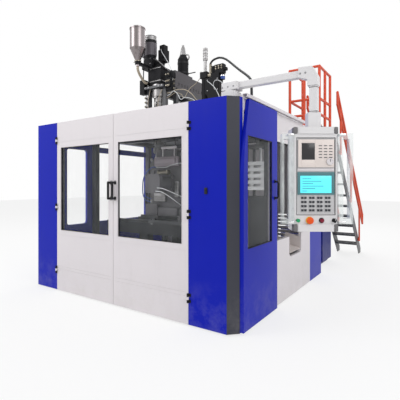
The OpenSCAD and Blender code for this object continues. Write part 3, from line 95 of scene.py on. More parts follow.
def ramp(tree: bpy.types.NodeTree, value: Any, low: float, high: float, to_low: float = 0.0,
         to_high: float = 1.0) -> bpy.types.NodeSocket:
    """Map a value from one range to another, clamped."""
    ins = {0: value, 1: low, 2: high, 3: to_low, 4: to_high}
    return wire(tree, "ShaderNodeMapRange", ins).outputs[0]


def scaled(tree: bpy.types.NodeTree, vector: Any, scale: Point) -> bpy.types.NodeSocket:
    """Scale a vector by three factors."""
    ins = {0: vector, 1: tuple(scale)}
    return wire(tree, "ShaderNodeVectorMath", ins, operation="MULTIPLY").outputs[0]


def noise(tree: bpy.types.NodeTree, vector: Any, scale: Any, detail: float = 3.0,
          rough: float = 0.55) -> bpy.types.NodeSocket:
    """Add a noise texture."""
    ins = {"Vector": vector, "Scale": scale, "Detail": detail, "Roughness": rough}
    return wire(tree, "ShaderNodeTexNoise", ins).outputs[0]


def grey(value: float) -> tuple:
    """Give a neutral colour."""
    return (value, value, value, 1.0)


class Effects:
    """Shader node groups that several finishes share."""

    def __init__(self) -> None:
        """Build the groups once."""
        self.film = self._film()
        self.brushed = self._brushed()
        self.skin = self._skin()

    @staticmethod
    def _group(name: str, ins: dict, outs: dict) -> tuple:
        """Make an empty group.

        Args:
            name: The group's name.
            ins: Input names with their defaults.
            outs: Output names with their socket types.

        Returns:
            The group, its input node and its output node.
        """
        tree = bpy.data.node_groups.new(name, "ShaderNodeTree")
        for key, value in ins.items():
            kind = "NodeSocketFloat"
            if key == "Vector":
                kind = "NodeSocketVector"
            elif isinstance(value, tuple):
                kind = "NodeSocketColor"
            socket = tree.interface.new_socket(name=key, in_out="INPUT", socket_type=kind)
            if value is not None:
                socket.default_value = value
        for key, kind in outs.items():
            tree.interface.new_socket(name=key, in_out="OUTPUT", socket_type=kind)
        return tree, tree.nodes.new("NodeGroupInput"), tree.nodes.new("NodeGroupOutput")

    OUTS = {"Colour": "NodeSocketColor", "Roughness": "NodeSocketFloat", "Height": "NodeSocketFloat"}

    def _film(self) -> bpy.types.NodeTree:
        """Build the sprayed paint film with mottling, grime streaks and floor dust.

        Returns:
            The group.
        """
        ins = {"Vector": None, "Colour": grey(0.8), "Roughness": 0.4, "Peel": 260.0, "Grime": 0.3,
               "Dust": 0.3, "Mottle": 0.06}
        tree, source, sink = self._group("paint_film", ins, self.OUTS)
        at = source.outputs
        patches = noise(tree, at["Vector"], 1.7, 5.0, 0.6)
        peel = noise(tree, at["Vector"], at["Peel"], 2.0)
        runs = noise(tree, scaled(tree, at["Vector"], (9.0, 9.0, 0.55)), 1.0, 6.0, 0.7)
        streak = ramp(tree, runs, 0.52, 0.78)
        cloud = ramp(tree, noise(tree, at["Vector"], 5.5, 7.0, 0.72), 0.42, 0.75)
        soil = maths(tree, "MULTIPLY", maths(tree, "MULTIPLY", streak, cloud), at["Grime"], True)
        spread = maths(tree, "MULTIPLY", maths(tree, "SUBTRACT", patches, 0.5), at["Mottle"])
        shade = wire(tree, "ShaderNodeHueSaturation",
                     {"Color": at["Colour"], "Value": maths(tree, "ADD", spread, 1.0)}).outputs[0]
        dirty = blend(tree, soil, shade, (0.16, 0.14, 0.12, 1.0))
        height = wire(tree, "ShaderNodeSeparateXYZ", {0: at["Vector"]}).outputs[2]
        low = ramp(tree, height, 0.0, 0.5, 1.0, 0.0)
        dust = maths(tree, "MULTIPLY", maths(tree, "MULTIPLY", low, cloud), at["Dust"], True)
        tree.links.new(blend(tree, dust, dirty, (0.46, 0.43, 0.39, 1.0)), sink.inputs["Colour"])
        dull = maths(tree, "ADD", maths(tree, "MULTIPLY", soil, 0.4), maths(tree, "MULTIPLY", dust, 0.5))
        wander = maths(tree, "MULTIPLY", maths(tree, "SUBTRACT", patches, 0.5), 0.12)
        rough = maths(tree, "ADD", maths(tree, "ADD", at["Roughness"], dull), wander, True)
        tree.links.new(rough, sink.inputs["Roughness"])
        tree.links.new(peel, sink.inputs["Height"])
        return tree

    def _brushed(self) -> bpy.types.NodeTree:
        """Build the drawn lines of brushed or ground metal.

        Returns:
            The group.
        """
        ins = {"Vector": None, "Colour": grey(0.6), "Roughness": 0.3, "Tarnish": 0.3}
        tree, source, sink = self._group("brushed_metal", ins, self.OUTS)
        at = source.outputs
        lines = noise(tree, at["Vector"], 1.0, 6.0, 0.7)
        smear = noise(tree, at["Vector"], 0.06, 4.0, 0.6)
        dull = maths(tree, "MULTIPLY", ramp(tree, smear, 0.45, 0.7), at["Tarnish"])
        lit = wire(tree, "ShaderNodeHueSaturation",
                   {"Color": at["Colour"], "Value": ramp(tree, lines, 0.3, 0.7, 0.9, 1.08)}).outputs[0]
        dark = blend(tree, dull, lit, blend(tree, 1.0, lit, (0.55, 0.52, 0.48, 1.0), "MULTIPLY"))
        tree.links.new(dark, sink.inputs["Colour"])
        rough = maths(tree, "ADD", at["Roughness"], ramp(tree, lines, 0.3, 0.7, -0.06, 0.1))
        tree.links.new(maths(tree, "ADD", rough, maths(tree, "MULTIPLY", dull, 0.3), True),
                       sink.inputs["Roughness"])
        tree.links.new(lines, sink.inputs["Height"])
        return tree

    def _skin(self) -> bpy.types.NodeTree:
        """Build the grain of castings, rubber and moulded plastic.

        Returns:
            The group.
        """
        ins = {"Vector": None, "Colour": grey(0.2), "Roughness": 0.5, "Grain": 90.0, "Oil": 0.3}
        tree, source, sink = self._group("grained_skin", ins, self.OUTS)
        at = source.outputs
        grain = noise(tree, at["Vector"], at["Grain"], 4.0, 0.65)
        broad = noise(tree, at["Vector"], 3.0, 6.0, 0.65)
        wet = maths(tree, "MULTIPLY", ramp(tree, broad, 0.48, 0.68), at["Oil"])
        lit = wire(tree, "ShaderNodeHueSaturation",
                   {"Color": at["Colour"], "Value": ramp(tree, grain, 0.3, 0.7, 0.88, 1.12)}).outputs[0]
        tree.links.new(blend(tree, wet, lit, blend(tree, 1.0, lit, (0.45, 0.42, 0.38, 1.0), "MULTIPLY")),
                       sink.inputs["Colour"])
        tree.links.new(maths(tree, "SUBTRACT", at["Roughness"], maths(tree, "MULTIPLY", wet, 0.3), True),
                       sink.inputs["Roughness"])
        tree.links.new(grain, sink.inputs["Height"])
        return tree


EFFECTS = Effects()


class Lay(Enum):
    """Direction of the drawn lines on metal, as scales of X, Y and Z."""

    ALONG_X = (6.0, 420.0, 420.0)
    ALONG_Z = (420.0, 420.0, 6.0)
    ROUND_Z = (60.0, 60.0, 900.0)
    ROUND_Y = (60.0, 900.0, 60.0)


def new_material(name: str) -> tuple:
    """Start a material with its Principled shader.

    Returns:
        The material, its tree, the shader and the Object coordinate socket.
    """
    made = bpy.data.materials.new(name)
    made.use_nodes = True
    tree = made.node_tree
    shader = tree.nodes["Principled BSDF"]
    place = wire(tree, "ShaderNodeTexCoord").outputs["Object"]
    return made, tree, shader, place


def textured(name: str, group: bpy.types.NodeTree, ins: dict, looks: dict, bump: float, depth: float,
             lay: Optional[Point] = None, edge: float = 0.0) -> bpy.types.Material:
    """Make a material whose colour, roughness and height come from a shared group.

    Args:
        name: The material's name.
        group: The shared group.
        ins: Values of the group's inputs.
        looks: Values of the shader's own inputs.
        bump: Strength of the height.
        depth: Depth of the height in metres.
        lay: Scales of the coordinates, for lines drawn in one direction.
        edge: Width in metres over which edges look rounded.

    Returns:
        The material.
    """
    made, tree, shader, place = new_material(name)
    at = scaled(tree, place, lay) if lay else place
    film = wire(tree, "ShaderNodeGroup", {"Vector": at, **ins}, node_tree=group).outputs
    normal = wire(tree, "ShaderNodeBump", {"Strength": bump, "Distance": depth, "Height": film["Height"]})
    if edge:
        tree.links.new(wire(tree, "ShaderNodeBevel", {"Radius": edge}, samples=4).outputs[0],
                       normal.inputs["Normal"])
    tree.links.new(film["Colour"], shader.inputs["Base Color"])
    tree.links.new(film["Roughness"], shader.inputs["Roughness"])
    tree.links.new(normal.outputs[0], shader.inputs["Normal"])
    for key, value in looks.items():
        shader.inputs[key].default_value = value
    return made


@dataclass(frozen=True)
class Paint:
    """A sprayed or powder-coated finish."""

    name: str
    colour: tuple
    roughness: float = 0.38
    grime: float = 0.3
    dust: float = 0.35
    mottle: float = 0.07
    peel: float = 260.0
    bump: float = 0.06
    coat: float = 0.15
    edge: float = 0.0018
    gloss: float = 0.5

    def material(self) -> bpy.types.Material:
        """Build the paint.

        Returns:
            The material.
        """
        ins = {"Colour": (*self.colour, 1.0), "Roughness": self.roughness, "Peel": self.peel,
               "Grime": self.grime, "Dust": self.dust, "Mottle": self.mottle}
        looks = {"Specular IOR Level": self.gloss, "Coat Weight": self.coat, "Coat Roughness": 0.2}
        return textured(self.name, EFFECTS.film, ins, looks, self.bump, 0.001, edge=self.edge)


@dataclass(frozen=True)
class Metal:
    """Bare metal with drawn or turned lines."""

    name: str
    colour: tuple
    lay: Lay = Lay.ALONG_Z
    roughness: float = 0.3
    tarnish: float = 0.3
    bump: float = 0.05
    metallic: float = 1.0

    def material(self) -> bpy.types.Material:
        """Build the metal.

        Returns:
            The material.
        """
        ins = {"Colour": (*self.colour, 1.0), "Roughness": self.roughness, "Tarnish": self.tarnish}
        return textured(self.name, EFFECTS.brushed, ins, {"Metallic": self.metallic}, self.bump, 0.0005,
                        self.lay.value)


@dataclass(frozen=True)
class Skin:
    """Cast iron, rubber or moulded plastic."""

    name: str
    colour: tuple
    roughness: float = 0.5
    grain: float = 160.0
    oil: float = 0.2
    bump: float = 0.15
    metallic: float = 0.0
    gloss: float = 0.25

    def material(self) -> bpy.types.Material:
        """Build the skin.

        Returns:
            The material.
        """
        ins = {"Colour": (*self.colour, 1.0), "Roughness": self.roughness, "Grain": self.grain,
               "Oil": self.oil}
        looks = {"Specular IOR Level": self.gloss, "Metallic": self.metallic}
        return textured(self.name, EFFECTS.skin, ins, looks, self.bump, 0.001)


@dataclass(frozen=True)
class Pane:
    """A clear window pane with a soft film of smears."""

    name: str
    colour: tuple
    cover: float = 0.1
    shine: float = 0.5

    def material(self) -> bpy.types.Material:
        """Build the pane.

        Returns:
            The material.
        """
        made, tree, shader, place = new_material(self.name)
        smear = noise(tree, scaled(tree, place, (3.0, 3.0, 1.2)), 2.0, 6.0, 0.7)
        gloss = wire(tree, "ShaderNodeFresnel", {"IOR": 1.45}).outputs[0]
        film = ramp(tree, smear, 0.4, 0.75, self.cover * 0.6, self.cover * 1.5)
        back = wire(tree, "ShaderNodeNewGeometry").outputs["Backfacing"]
        cover = maths(tree, "ADD", maths(tree, "MULTIPLY", gloss, self.shine), film, True)
        front = maths(tree, "SUBTRACT", 1.0, back)
        tree.links.new(maths(tree, "MULTIPLY", cover, front), shader.inputs["Alpha"])
        tree.links.new(ramp(tree, smear, 0.3, 0.8, 0.03, 0.12), shader.inputs["Roughness"])
        shader.inputs["Base Color"].default_value = (*self.colour, 1.0)
        return made


@dataclass(frozen=True)
class Glow:
    """A lit display face."""

    name: str
    colour: tuple
    strength: float = 0.9

    def material(self) -> bpy.types.Material:
        """Build the display.

        Returns:
            The material.
        """
        made, tree, shader, place = new_material(self.name)
        rows = wire(tree, "ShaderNodeTexWave", {"Vector": place, "Scale": 160.0}, bands_direction="Z")
        tone = blend(tree, ramp(tree, rows.outputs[1], 0.0, 1.0, 0.0, 0.06), (*self.colour, 1.0), grey(0.02))
        tree.links.new(tone, shader.inputs["Base Color"])
        tree.links.new(tone, shader.inputs["Emission Color"])
        shader.inputs["Emission Strength"].default_value = self.strength
        shader.inputs["Roughness"].default_value = 0.2
        return made


class Store:
    """The finishes of the machine, each made once."""

    FINISHES = (
        Paint("guard_white", (0.68, 0.645, 0.665), 0.42, 0.12, 0.25, 0.05),
        Paint("guard_blue", (0.003, 0.011, 0.385), 0.36, 0.06, 0.2, 0.12, coat=0.0, gloss=0.12),
        Paint("strip_grey", (0.048, 0.05, 0.064), 0.4, 0.25, 0.2, 0.2, coat=0.0, gloss=0.2),
        Paint("frame_grey", (0.06, 0.062, 0.07), 0.5, 0.5, 0.5, 0.3),
        Paint("roof_grey", (0.5, 0.5, 0.51), 0.5, 0.5, 0.0, 0.1),
        Paint("guard_dark", (0.1, 0.095, 0.104), 0.45, 0.3, 0.0, 0.12, coat=0.0, gloss=0.25),
        Paint("grey_paint", (0.22, 0.22, 0.235), 0.45, 0.4, 0.0, 0.15),
        Paint("black_paint", (0.014, 0.014, 0.016), 0.5, 0.2, 0.0, 0.3, coat=0.0, gloss=0.1),
        Paint("stair_dark", (0.028, 0.034, 0.045), 0.5, 0.4, 0.6, 0.3),
        Paint("rail_red", (0.66, 0.075, 0.028), 0.4, 0.35, 0.3, 0.25, coat=0.0, gloss=0.3),
        Paint("deep_blue", (0.004, 0.01, 0.17), 0.42, 0.2, 0.3, 0.2, coat=0.0, gloss=0.15),
        Paint("panel_face", (0.52, 0.515, 0.525), 0.45, 0.05, 0.0, 0.04),
        Paint("pendant_alu", (0.66, 0.65, 0.66), 0.4, 0.06, 0.0, 0.05, coat=0.2),
        Paint("cream_face", (0.7, 0.625, 0.59), 0.5, 0.04, 0.0, 0.04),
        Paint("taupe", (0.62, 0.56, 0.54), 0.5, 0.2, 0.0, 0.1),
        Metal("machined_steel", (0.36, 0.355, 0.36), Lay.ROUND_Z, 0.3, 0.6),
        Metal("heater_steel", (0.3, 0.29, 0.29), Lay.ROUND_Z, 0.32, 0.6),
        Metal("stainless", (0.3, 0.27, 0.275), Lay.ALONG_Z, 0.22, 0.8),
        Metal("mould_alu", (0.66, 0.67, 0.68), Lay.ALONG_X, 0.33, 0.2),
        Metal("bright_rod", (0.75, 0.75, 0.76), Lay.ROUND_Y, 0.16, 0.1),
        Metal("brass_dull", (0.26, 0.235, 0.19), Lay.ROUND_Z, 0.35, 0.7),
        Metal("cap_grey", (0.34, 0.335, 0.34), Lay.ROUND_Z, 0.4, 0.6),
        Skin("cast_grey", (0.125, 0.12, 0.132), 0.45, 130.0, 0.3, 0.3),
        Skin("black_plastic", (0.014, 0.014, 0.016), 0.45, 300.0, 0.1),
        Skin("hose_black", (0.018, 0.019, 0.022), 0.42, 220.0, 0.2),
        Skin("hose_beige", (0.42, 0.36, 0.28), 0.55, 200.0, 0.3),
        Skin("hose_blue", (0.04, 0.09, 0.34), 0.35, 200.0, 0.1),
        Skin("hose_white", (0.72, 0.74, 0.76), 0.35, 200.0, 0.1),
        Skin("corner_plastic", (0.16, 0.155, 0.16), 0.5, 300.0, 0.05),
        Skin("green_cap", (0.02, 0.3, 0.12), 0.3, 200.0, 0.0, 0.05),
        Skin("stop_cap", (0.75, 0.09, 0.012), 0.32, 200.0, 0.0, 0.05),
        Skin("yellow_collar", (0.85, 0.5, 0.02), 0.4, 200.0, 0.0, 0.05),
        Skin("red_cap", (0.2, 0.012, 0.03), 0.3, 200.0, 0.0, 0.05),
        Pane("clear_pane", (0.62, 0.66, 0.66), 0.05),
        Pane("handle_clear", (0.7, 0.74, 0.74), 0.6),
        Paint("mauve_cast", (0.36, 0.31, 0.35), 0.4, 0.3, 0.0, 0.1),
        Skin("motor_grey", (0.115, 0.105, 0.12), 0.42, 200.0, 0.2, gloss=0.4),
        Paint("bezel_teal", (0.085, 0.2, 0.22), 0.4, 0.0, 0.0, 0.04, coat=0.0, gloss=0.3),
        Paint("keypad_grey", (0.52, 0.52, 0.53), 0.5, 0.05, 0.0, 0.04),
        Skin("key_dark", (0.05, 0.052, 0.06), 0.4, 300.0, 0.0, 0.05),
        Skin("lcd_ink", (0.05, 0.2, 0.25), 0.4, 300.0, 0.0, 0.02),
        Metal("worn_steel", (0.3, 0.3, 0.31), Lay.ALONG_X, 0.4, 0.5),
        Glow("lcd_cyan", (0.085, 0.66, 0.76), 0.75),
        Glow("screen_dark", (0.015, 0.014, 0.016), 0.1),
    )

    def __init__(self) -> None:
        """Make every material."""
        self.materials = {finish.name: finish.material() for finish in self.FINISHES}

    def __getitem__(self, name: str) -> bpy.types.Material:
        """Give a material by its finish name."""
        return self.materials[name]


STORE = Store()

# Finish of each node of the frame, where it differs from its slot's name
NODE_FINISH = {
    "wall_windows": "clear_pane", "side_door_window": "clear_pane", "left_door_window": "clear_pane",
    "right_door_window": "clear_pane", "heater_bands": "heater_steel", "start_button": "green_cap",
    "stop_button": "stop_cap", "motor_button": "red_cap", "selector_switch": "black_plastic",
    "extruder_screw": "bright_rod", "clamp_cylinder": "cast_grey",
}


def dress_frame() -> None:
    """Give every node of the frame its finish."""
    slots = {row["node"]: row["material_slot"] for row in frame["record"]["subparts"]}
    for name, node in frame["nodes"].items():
        finish = NODE_FINISH.get(name, slots[name])
        node.data.materials.clear()
        node.data.materials.append(STORE[finish])
    LOG.info("dressed %d nodes", len(frame["nodes"]))


@dataclass(frozen=True)
class Viewpoint:
    """The photograph's camera."""

    place: tuple = (3.0899, -4.2269, 1.3803)
    turn: float = 33.87
    lens: float = 31.874
    sensor: float = 36.0
    shift_y: float = -0.0368

    def build(self) -> bpy.types.Object:
        """Set up the camera.

        Returns:
            The camera object.
        """
        data = bpy.data.cameras.new("photo_camera")
        data.lens = self.lens
        data.sensor_width = self.sensor
        data.shift_y = self.shift_y
        data.clip_end = 100.0
        camera = bpy.data.objects.new("photo_camera", data)
        camera.location = self.place
        camera.rotation_euler = (math.radians(90.0), 0.0, math.radians(self.turn))
        bpy.context.scene.collection.objects.link(camera)
        bpy.context.scene.camera = camera
        return camera


@dataclass(frozen=True)
class Studio:
    """Plain pale floor, white surround and soft lamps."""

    floor_size: float = 60.0
    world: float = 0.72
    key: float = 420.0
    fill: float = 230.0
    bright: float = 0.72

    def build(self) -> None:
        """Set up the floor, the world and the lamps."""
        scene = bpy.context.scene
        scene.view_settings.view_transform = "Standard"
        world = bpy.data.worlds.new("studio")
        world.use_nodes = True
        tree = world.node_tree
        level = ramp(tree, self._seen(tree), 0.0, 1.0, self.world, 1.0)
        tree.links.new(level, tree.nodes["Background"].inputs["Strength"])
        tree.nodes["Background"].inputs["Color"].default_value = grey(1.0)
        scene.world = world
        self._floor()
        self._lamp("key_lamp", (-5.5, -8.0, 7.5), (0.0, 0.0, 1.2), 6.0, self.key)
        self._lamp("fill_lamp", (8.5, -3.0, 6.0), (0.5, 0.0, 1.2), 5.0, self.fill)
        self._lamp("back_lamp", (-2.0, 7.0, 7.0), (0.0, 0.5, 1.5), 5.0, self.fill)

    @staticmethod
    def _seen(tree: bpy.types.NodeTree) -> bpy.types.NodeSocket:
        """Tell the rays that show the surround from those that light the machine.

        Returns:
            A socket that is 1 for the rays that show it.
        """
        path = wire(tree, "ShaderNodeLightPath").outputs
        direct = maths(tree, "MAXIMUM", path["Is Camera Ray"], path["Is Transmission Ray"])
        return maths(tree, "MAXIMUM", direct, path["Is Glossy Ray"])

    def _floor(self) -> None:
        """Make the pale floor."""
        mesh = bpy.data.meshes.new("floor")
        half = self.floor_size / 2
        corners = [(-half, -half, 0), (half, -half, 0), (half, half, 0), (-half, half, 0)]
        mesh.from_pydata(corners, [], [(0, 1, 2, 3)])
        floor = bpy.data.objects.new("floor", mesh)
        bpy.context.scene.collection.objects.link(floor)
        made = bpy.data.materials.new("floor_white")
        made.use_nodes = True
        tree = made.node_tree
        matt = tree.nodes["Principled BSDF"]
        matt.inputs["Base Color"].default_value = grey(0.86)
        matt.inputs["Roughness"].default_value = 0.9
        glow = wire(tree, "ShaderNodeEmission", {"Color": grey(1.0), "Strength": 1.0})
        lit = maths(tree, "MULTIPLY", self._seen(tree), self.bright)
        mix = wire(tree, "ShaderNodeMixShader", {0: lit, 1: matt.outputs[0], 2: glow.outputs[0]})
        tree.links.new(mix.outputs[0], tree.nodes["Material Output"].inputs["Surface"])
        mesh.materials.append(made)

    @staticmethod
    def _lamp(name: str, place: Point, target: Point, size: float, power: float) -> None:
        """Hang one square soft lamp aimed at a target."""
        data = bpy.data.lights.new(name, "AREA")
        data.size = size
        data.energy = power
        lamp = bpy.data.objects.new(name, data)
        lamp.location = place
        aim = Vector(target) - Vector(place)
        lamp.rotation_euler = aim.to_track_quat("-Z", "Y").to_euler()
        bpy.context.scene.collection.objects.link(lamp)


class Blank:
    """A workpiece: one mesh that gathers solids before it is dressed. Sizes are in millimetres."""

    LEAST_RADIUS = 1e-6
    MOST_BEVEL = 0.45

    def __init__(self) -> None:
        """Start empty."""
        self.bm = bmesh.new()

    def box(self, x0: float, y0: float, z0: float, x1: float, y1: float, z1: float, bevel: float = 0.0,
            place: Optional[Matrix] = None) -> "Blank":
        """Add a box with its edges rounded.

        Args:
            x0, y0, z0: Lowest corner.
            x1, y1, z1: Highest corner.
            bevel: Width of the rounded edge.
            place: Matrix that moves the box.

        Returns:
            The workpiece.
        """
        low, high = mm(x0, y0, z0), mm(x1, y1, z1)
        size = [b - a for a, b in zip(low, high)]
        middle = [(a + b) / 2 for a, b in zip(low, high)]
        made = bmesh.ops.create_cube(self.bm, size=1.0)["verts"]
        bmesh.ops.scale(self.bm, vec=size, verts=made)
        bmesh.ops.translate(self.bm, vec=middle, verts=made)
        if bevel:
            edges = list({edge for vert in made for edge in vert.link_edges})
            width = min(bevel / 1000.0, min(size) * self.MOST_BEVEL)
            made = bmesh.ops.bevel(self.bm, geom=edges, offset=width, segments=2, profile=0.5,
                                   affect="EDGES", clamp_overlap=True)["verts"]
        if place is not None:
            bmesh.ops.transform(self.bm, matrix=place, verts=made)
        return self

    def boxes(self, bevel: float, *rows: tuple) -> "Blank":
        """Add boxes that share one bevel."""
        for row in rows:
            self.box(*row, bevel)
        return self

    def turned(self, base: Point, axis: Point, profile: Iterable[tuple], sides: int = 32) -> "Blank":
        """Add a turned solid.

        Args:
            base: Where the axis starts.
            axis: Direction of the axis.
            profile: Radius and distance along the axis, from one end to the other.
            sides: Facets round the axis.

        Returns:
            The workpiece.
        """
        place, turn = self._round(base, axis, sides)
        rings = []
        for radius, along in (mm(*spot) for spot in profile):
            if radius < self.LEAST_RADIUS:
                rings.append([self.bm.verts.new(place @ Vector((0, 0, along)))])
                continue
            spots = [(radius * math.cos(a), radius * math.sin(a), along) for a in turn]
            rings.append([self.bm.verts.new(place @ Vector(spot)) for spot in spots])
        for one, two in zip(rings, rings[1:]):
            for i in range(sides):
                j = (i + 1) % sides
                quad = [one[i % len(one)], one[j % len(one)], two[j % len(two)], two[i % len(two)]]
                corners = list(dict.fromkeys(quad))
                if len(corners) > 2:
                    self.bm.faces.new(corners)
        for ring, flip in ((rings[0], True), (rings[-1], False)):
            if len(ring) > 2:
                self.bm.faces.new(list(reversed(ring)) if flip else ring)
        return self

    @staticmethod
    def _round(base: Point, axis: Point, sides: int) -> tuple:
        """Give the frame of a turned solid and the angles of its facets."""
        turn = Vector(axis).to_track_quat("Z", "Y").to_matrix().to_4x4()
        return Matrix.Translation(mm(*base)) @ turn, [math.tau * i / sides for i in range(sides)]

    def loop(self, base: Point, profile: Sequence[tuple], sides: int = 32,
             axis: Point = (0, 0, 1)) -> "Blank":
        """Add a hollow solid turned from a closed profile of radius and distance."""
        place, turn = self._round(base, axis, sides)
        rings = [[self.bm.verts.new(place @ Vector((r * math.cos(a), r * math.sin(a), along))) for a in turn]
                 for r, along in (mm(*spot) for spot in profile)]
        for one, two in zip(rings, rings[1:] + rings[:1]):
            for i in range(sides):
                j = (i + 1) % sides
                self.bm.faces.new((one[i], one[j], two[j], two[i]))
        return self

    def ring(self, base: Point, inner: float, outer: float, tall: float, chamfer: float = 0.0,
             sides: int = 32) -> "Blank":
        """Add a standing ring between two radii, with chamfered outer edges."""
        profile = [(inner, 0.0), (outer, chamfer), (outer, tall - chamfer), (inner, tall)]
        return self.loop(base, profile, sides)

    def pipe(self, route: Sequence[Point], radius: float, sides: int = 12) -> "Blank":
        """Add a tube of round section along a route of points, all in metres.

        Returns:
            The workpiece.
        """
        path = [Vector(p) for p in route]
        side = None
        rings = []
        for i, point in enumerate(path):
            ahead = (path[min(i + 1, len(path) - 1)] - path[max(i - 1, 0)]).normalized()
            if side is None:
                side = ahead.orthogonal().normalized()
            side = (side - ahead * side.dot(ahead)).normalized()
            other = ahead.cross(side)
            rings.append([self.bm.verts.new(point + radius * (math.cos(a) * side + math.sin(a) * other))
                          for a in (math.tau * k / sides for k in range(sides))])
        for one, two in zip(rings, rings[1:]):
            for k in range(sides):
                j = (k + 1) % sides
                self.bm.faces.new((one[k], one[j], two[j], two[k]))
        self.bm.faces.new(list(reversed(rings[0])))
        self.bm.faces.new(rings[-1])
        return self

    def slab(self, rise: Point, *outline: Point) -> "Blank":
        """Add a prism: a flat outline of points, pushed along rise."""
        low = [Vector(mm(*p)) for p in outline]
        high = [p + Vector(mm(*rise)) for p in low]
        one = [self.bm.verts.new(p) for p in low]
        two = [self.bm.verts.new(p) for p in high]
        self.bm.faces.new(one)
        self.bm.faces.new(list(reversed(two)))
        for i in range(len(one)):
            j = (i + 1) % len(one)
            self.bm.faces.new((one[i], two[i], two[j], one[j]))
        return self

    def part(self, name: str, finish: str, body: str, slot: str, place: Optional[Matrix] = None,
             smooth: float = 35.0) -> bpy.types.Object:
        """Finish the workpiece as a piece that rides on a body.

        Args:
            name: The piece's name.
            finish: Name of its finish.
            body: The body that it rides on.
            slot: The record's material slot; not used.
            place: Matrix that moves the whole piece.
            smooth: Angle in degrees above which an edge stays sharp.

        Returns:
            The piece.
        """
        if place is not None:
            bmesh.ops.transform(self.bm, matrix=place, verts=self.bm.verts)
        bmesh.ops.recalc_face_normals(self.bm, faces=self.bm.faces)
        mesh = bpy.data.meshes.new(name)
        self.bm.to_mesh(mesh)
        self.bm.free()
        for face in mesh.polygons:
            face.use_smooth = True
        mesh.set_sharp_from_angle(angle=math.radians(smooth))
        mesh.materials.append(STORE[finish])
        return mounted(name, mesh, body)


def mounted(name: str, mesh: bpy.types.Mesh, body: str) -> bpy.types.Object:
    """Let a mesh ride on a body as a piece.

    Returns:
        The piece.
    """
    piece = bpy.data.objects.new(name, mesh)
    bpy.context.scene.collection.objects.link(piece)
    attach(piece, body)
    LOG.info("%s: %d faces on %s", name, len(mesh.polygons), body)
    return piece


def mm(*values: float) -> tuple:
    """Turn millimetres into metres."""
    return tuple(value / 1000.0 for value in values)


def border(outer: Point, inner: Point, front: float, back: float) -> list:
    """Give the boxes of four bars round an opening in a plane across Y.

    Args:
        outer: Low x, high x, low z and high z of the bars' outer edge.
        inner: The same of the opening.
        front: Low y of the bars.
        back: High y of the bars.

    Returns:
        Two corners of each bar.
    """
    a, b, c, d = outer
    e, f, g, h = inner
    return [(a, front, c, e, back, d), (f, front, c, b, back, d),
            (e, front, c, f, back, g), (e, front, h, f, back, d)]


# Column of the pendant in millimetres, the turn of its head in degrees, and the head's frame
COLUMN = (2224.0, -1210.0)
HEAD_TURN = 34.0
HEAD = Matrix.Translation(mm(*COLUMN, 0.0)) @ Matrix.Rotation(math.radians(HEAD_TURN), 4, "Z")


class Facing(Enum):
    """Which way stamped shapes point, as the degrees that tilt +Z there."""

    FRONT = 90.0
    UP = 0.0

    def matrix(self) -> Matrix:
        """Give the turn that takes +Z to this direction."""
        return Matrix.Rotation(math.radians(self.value), 4, "X")


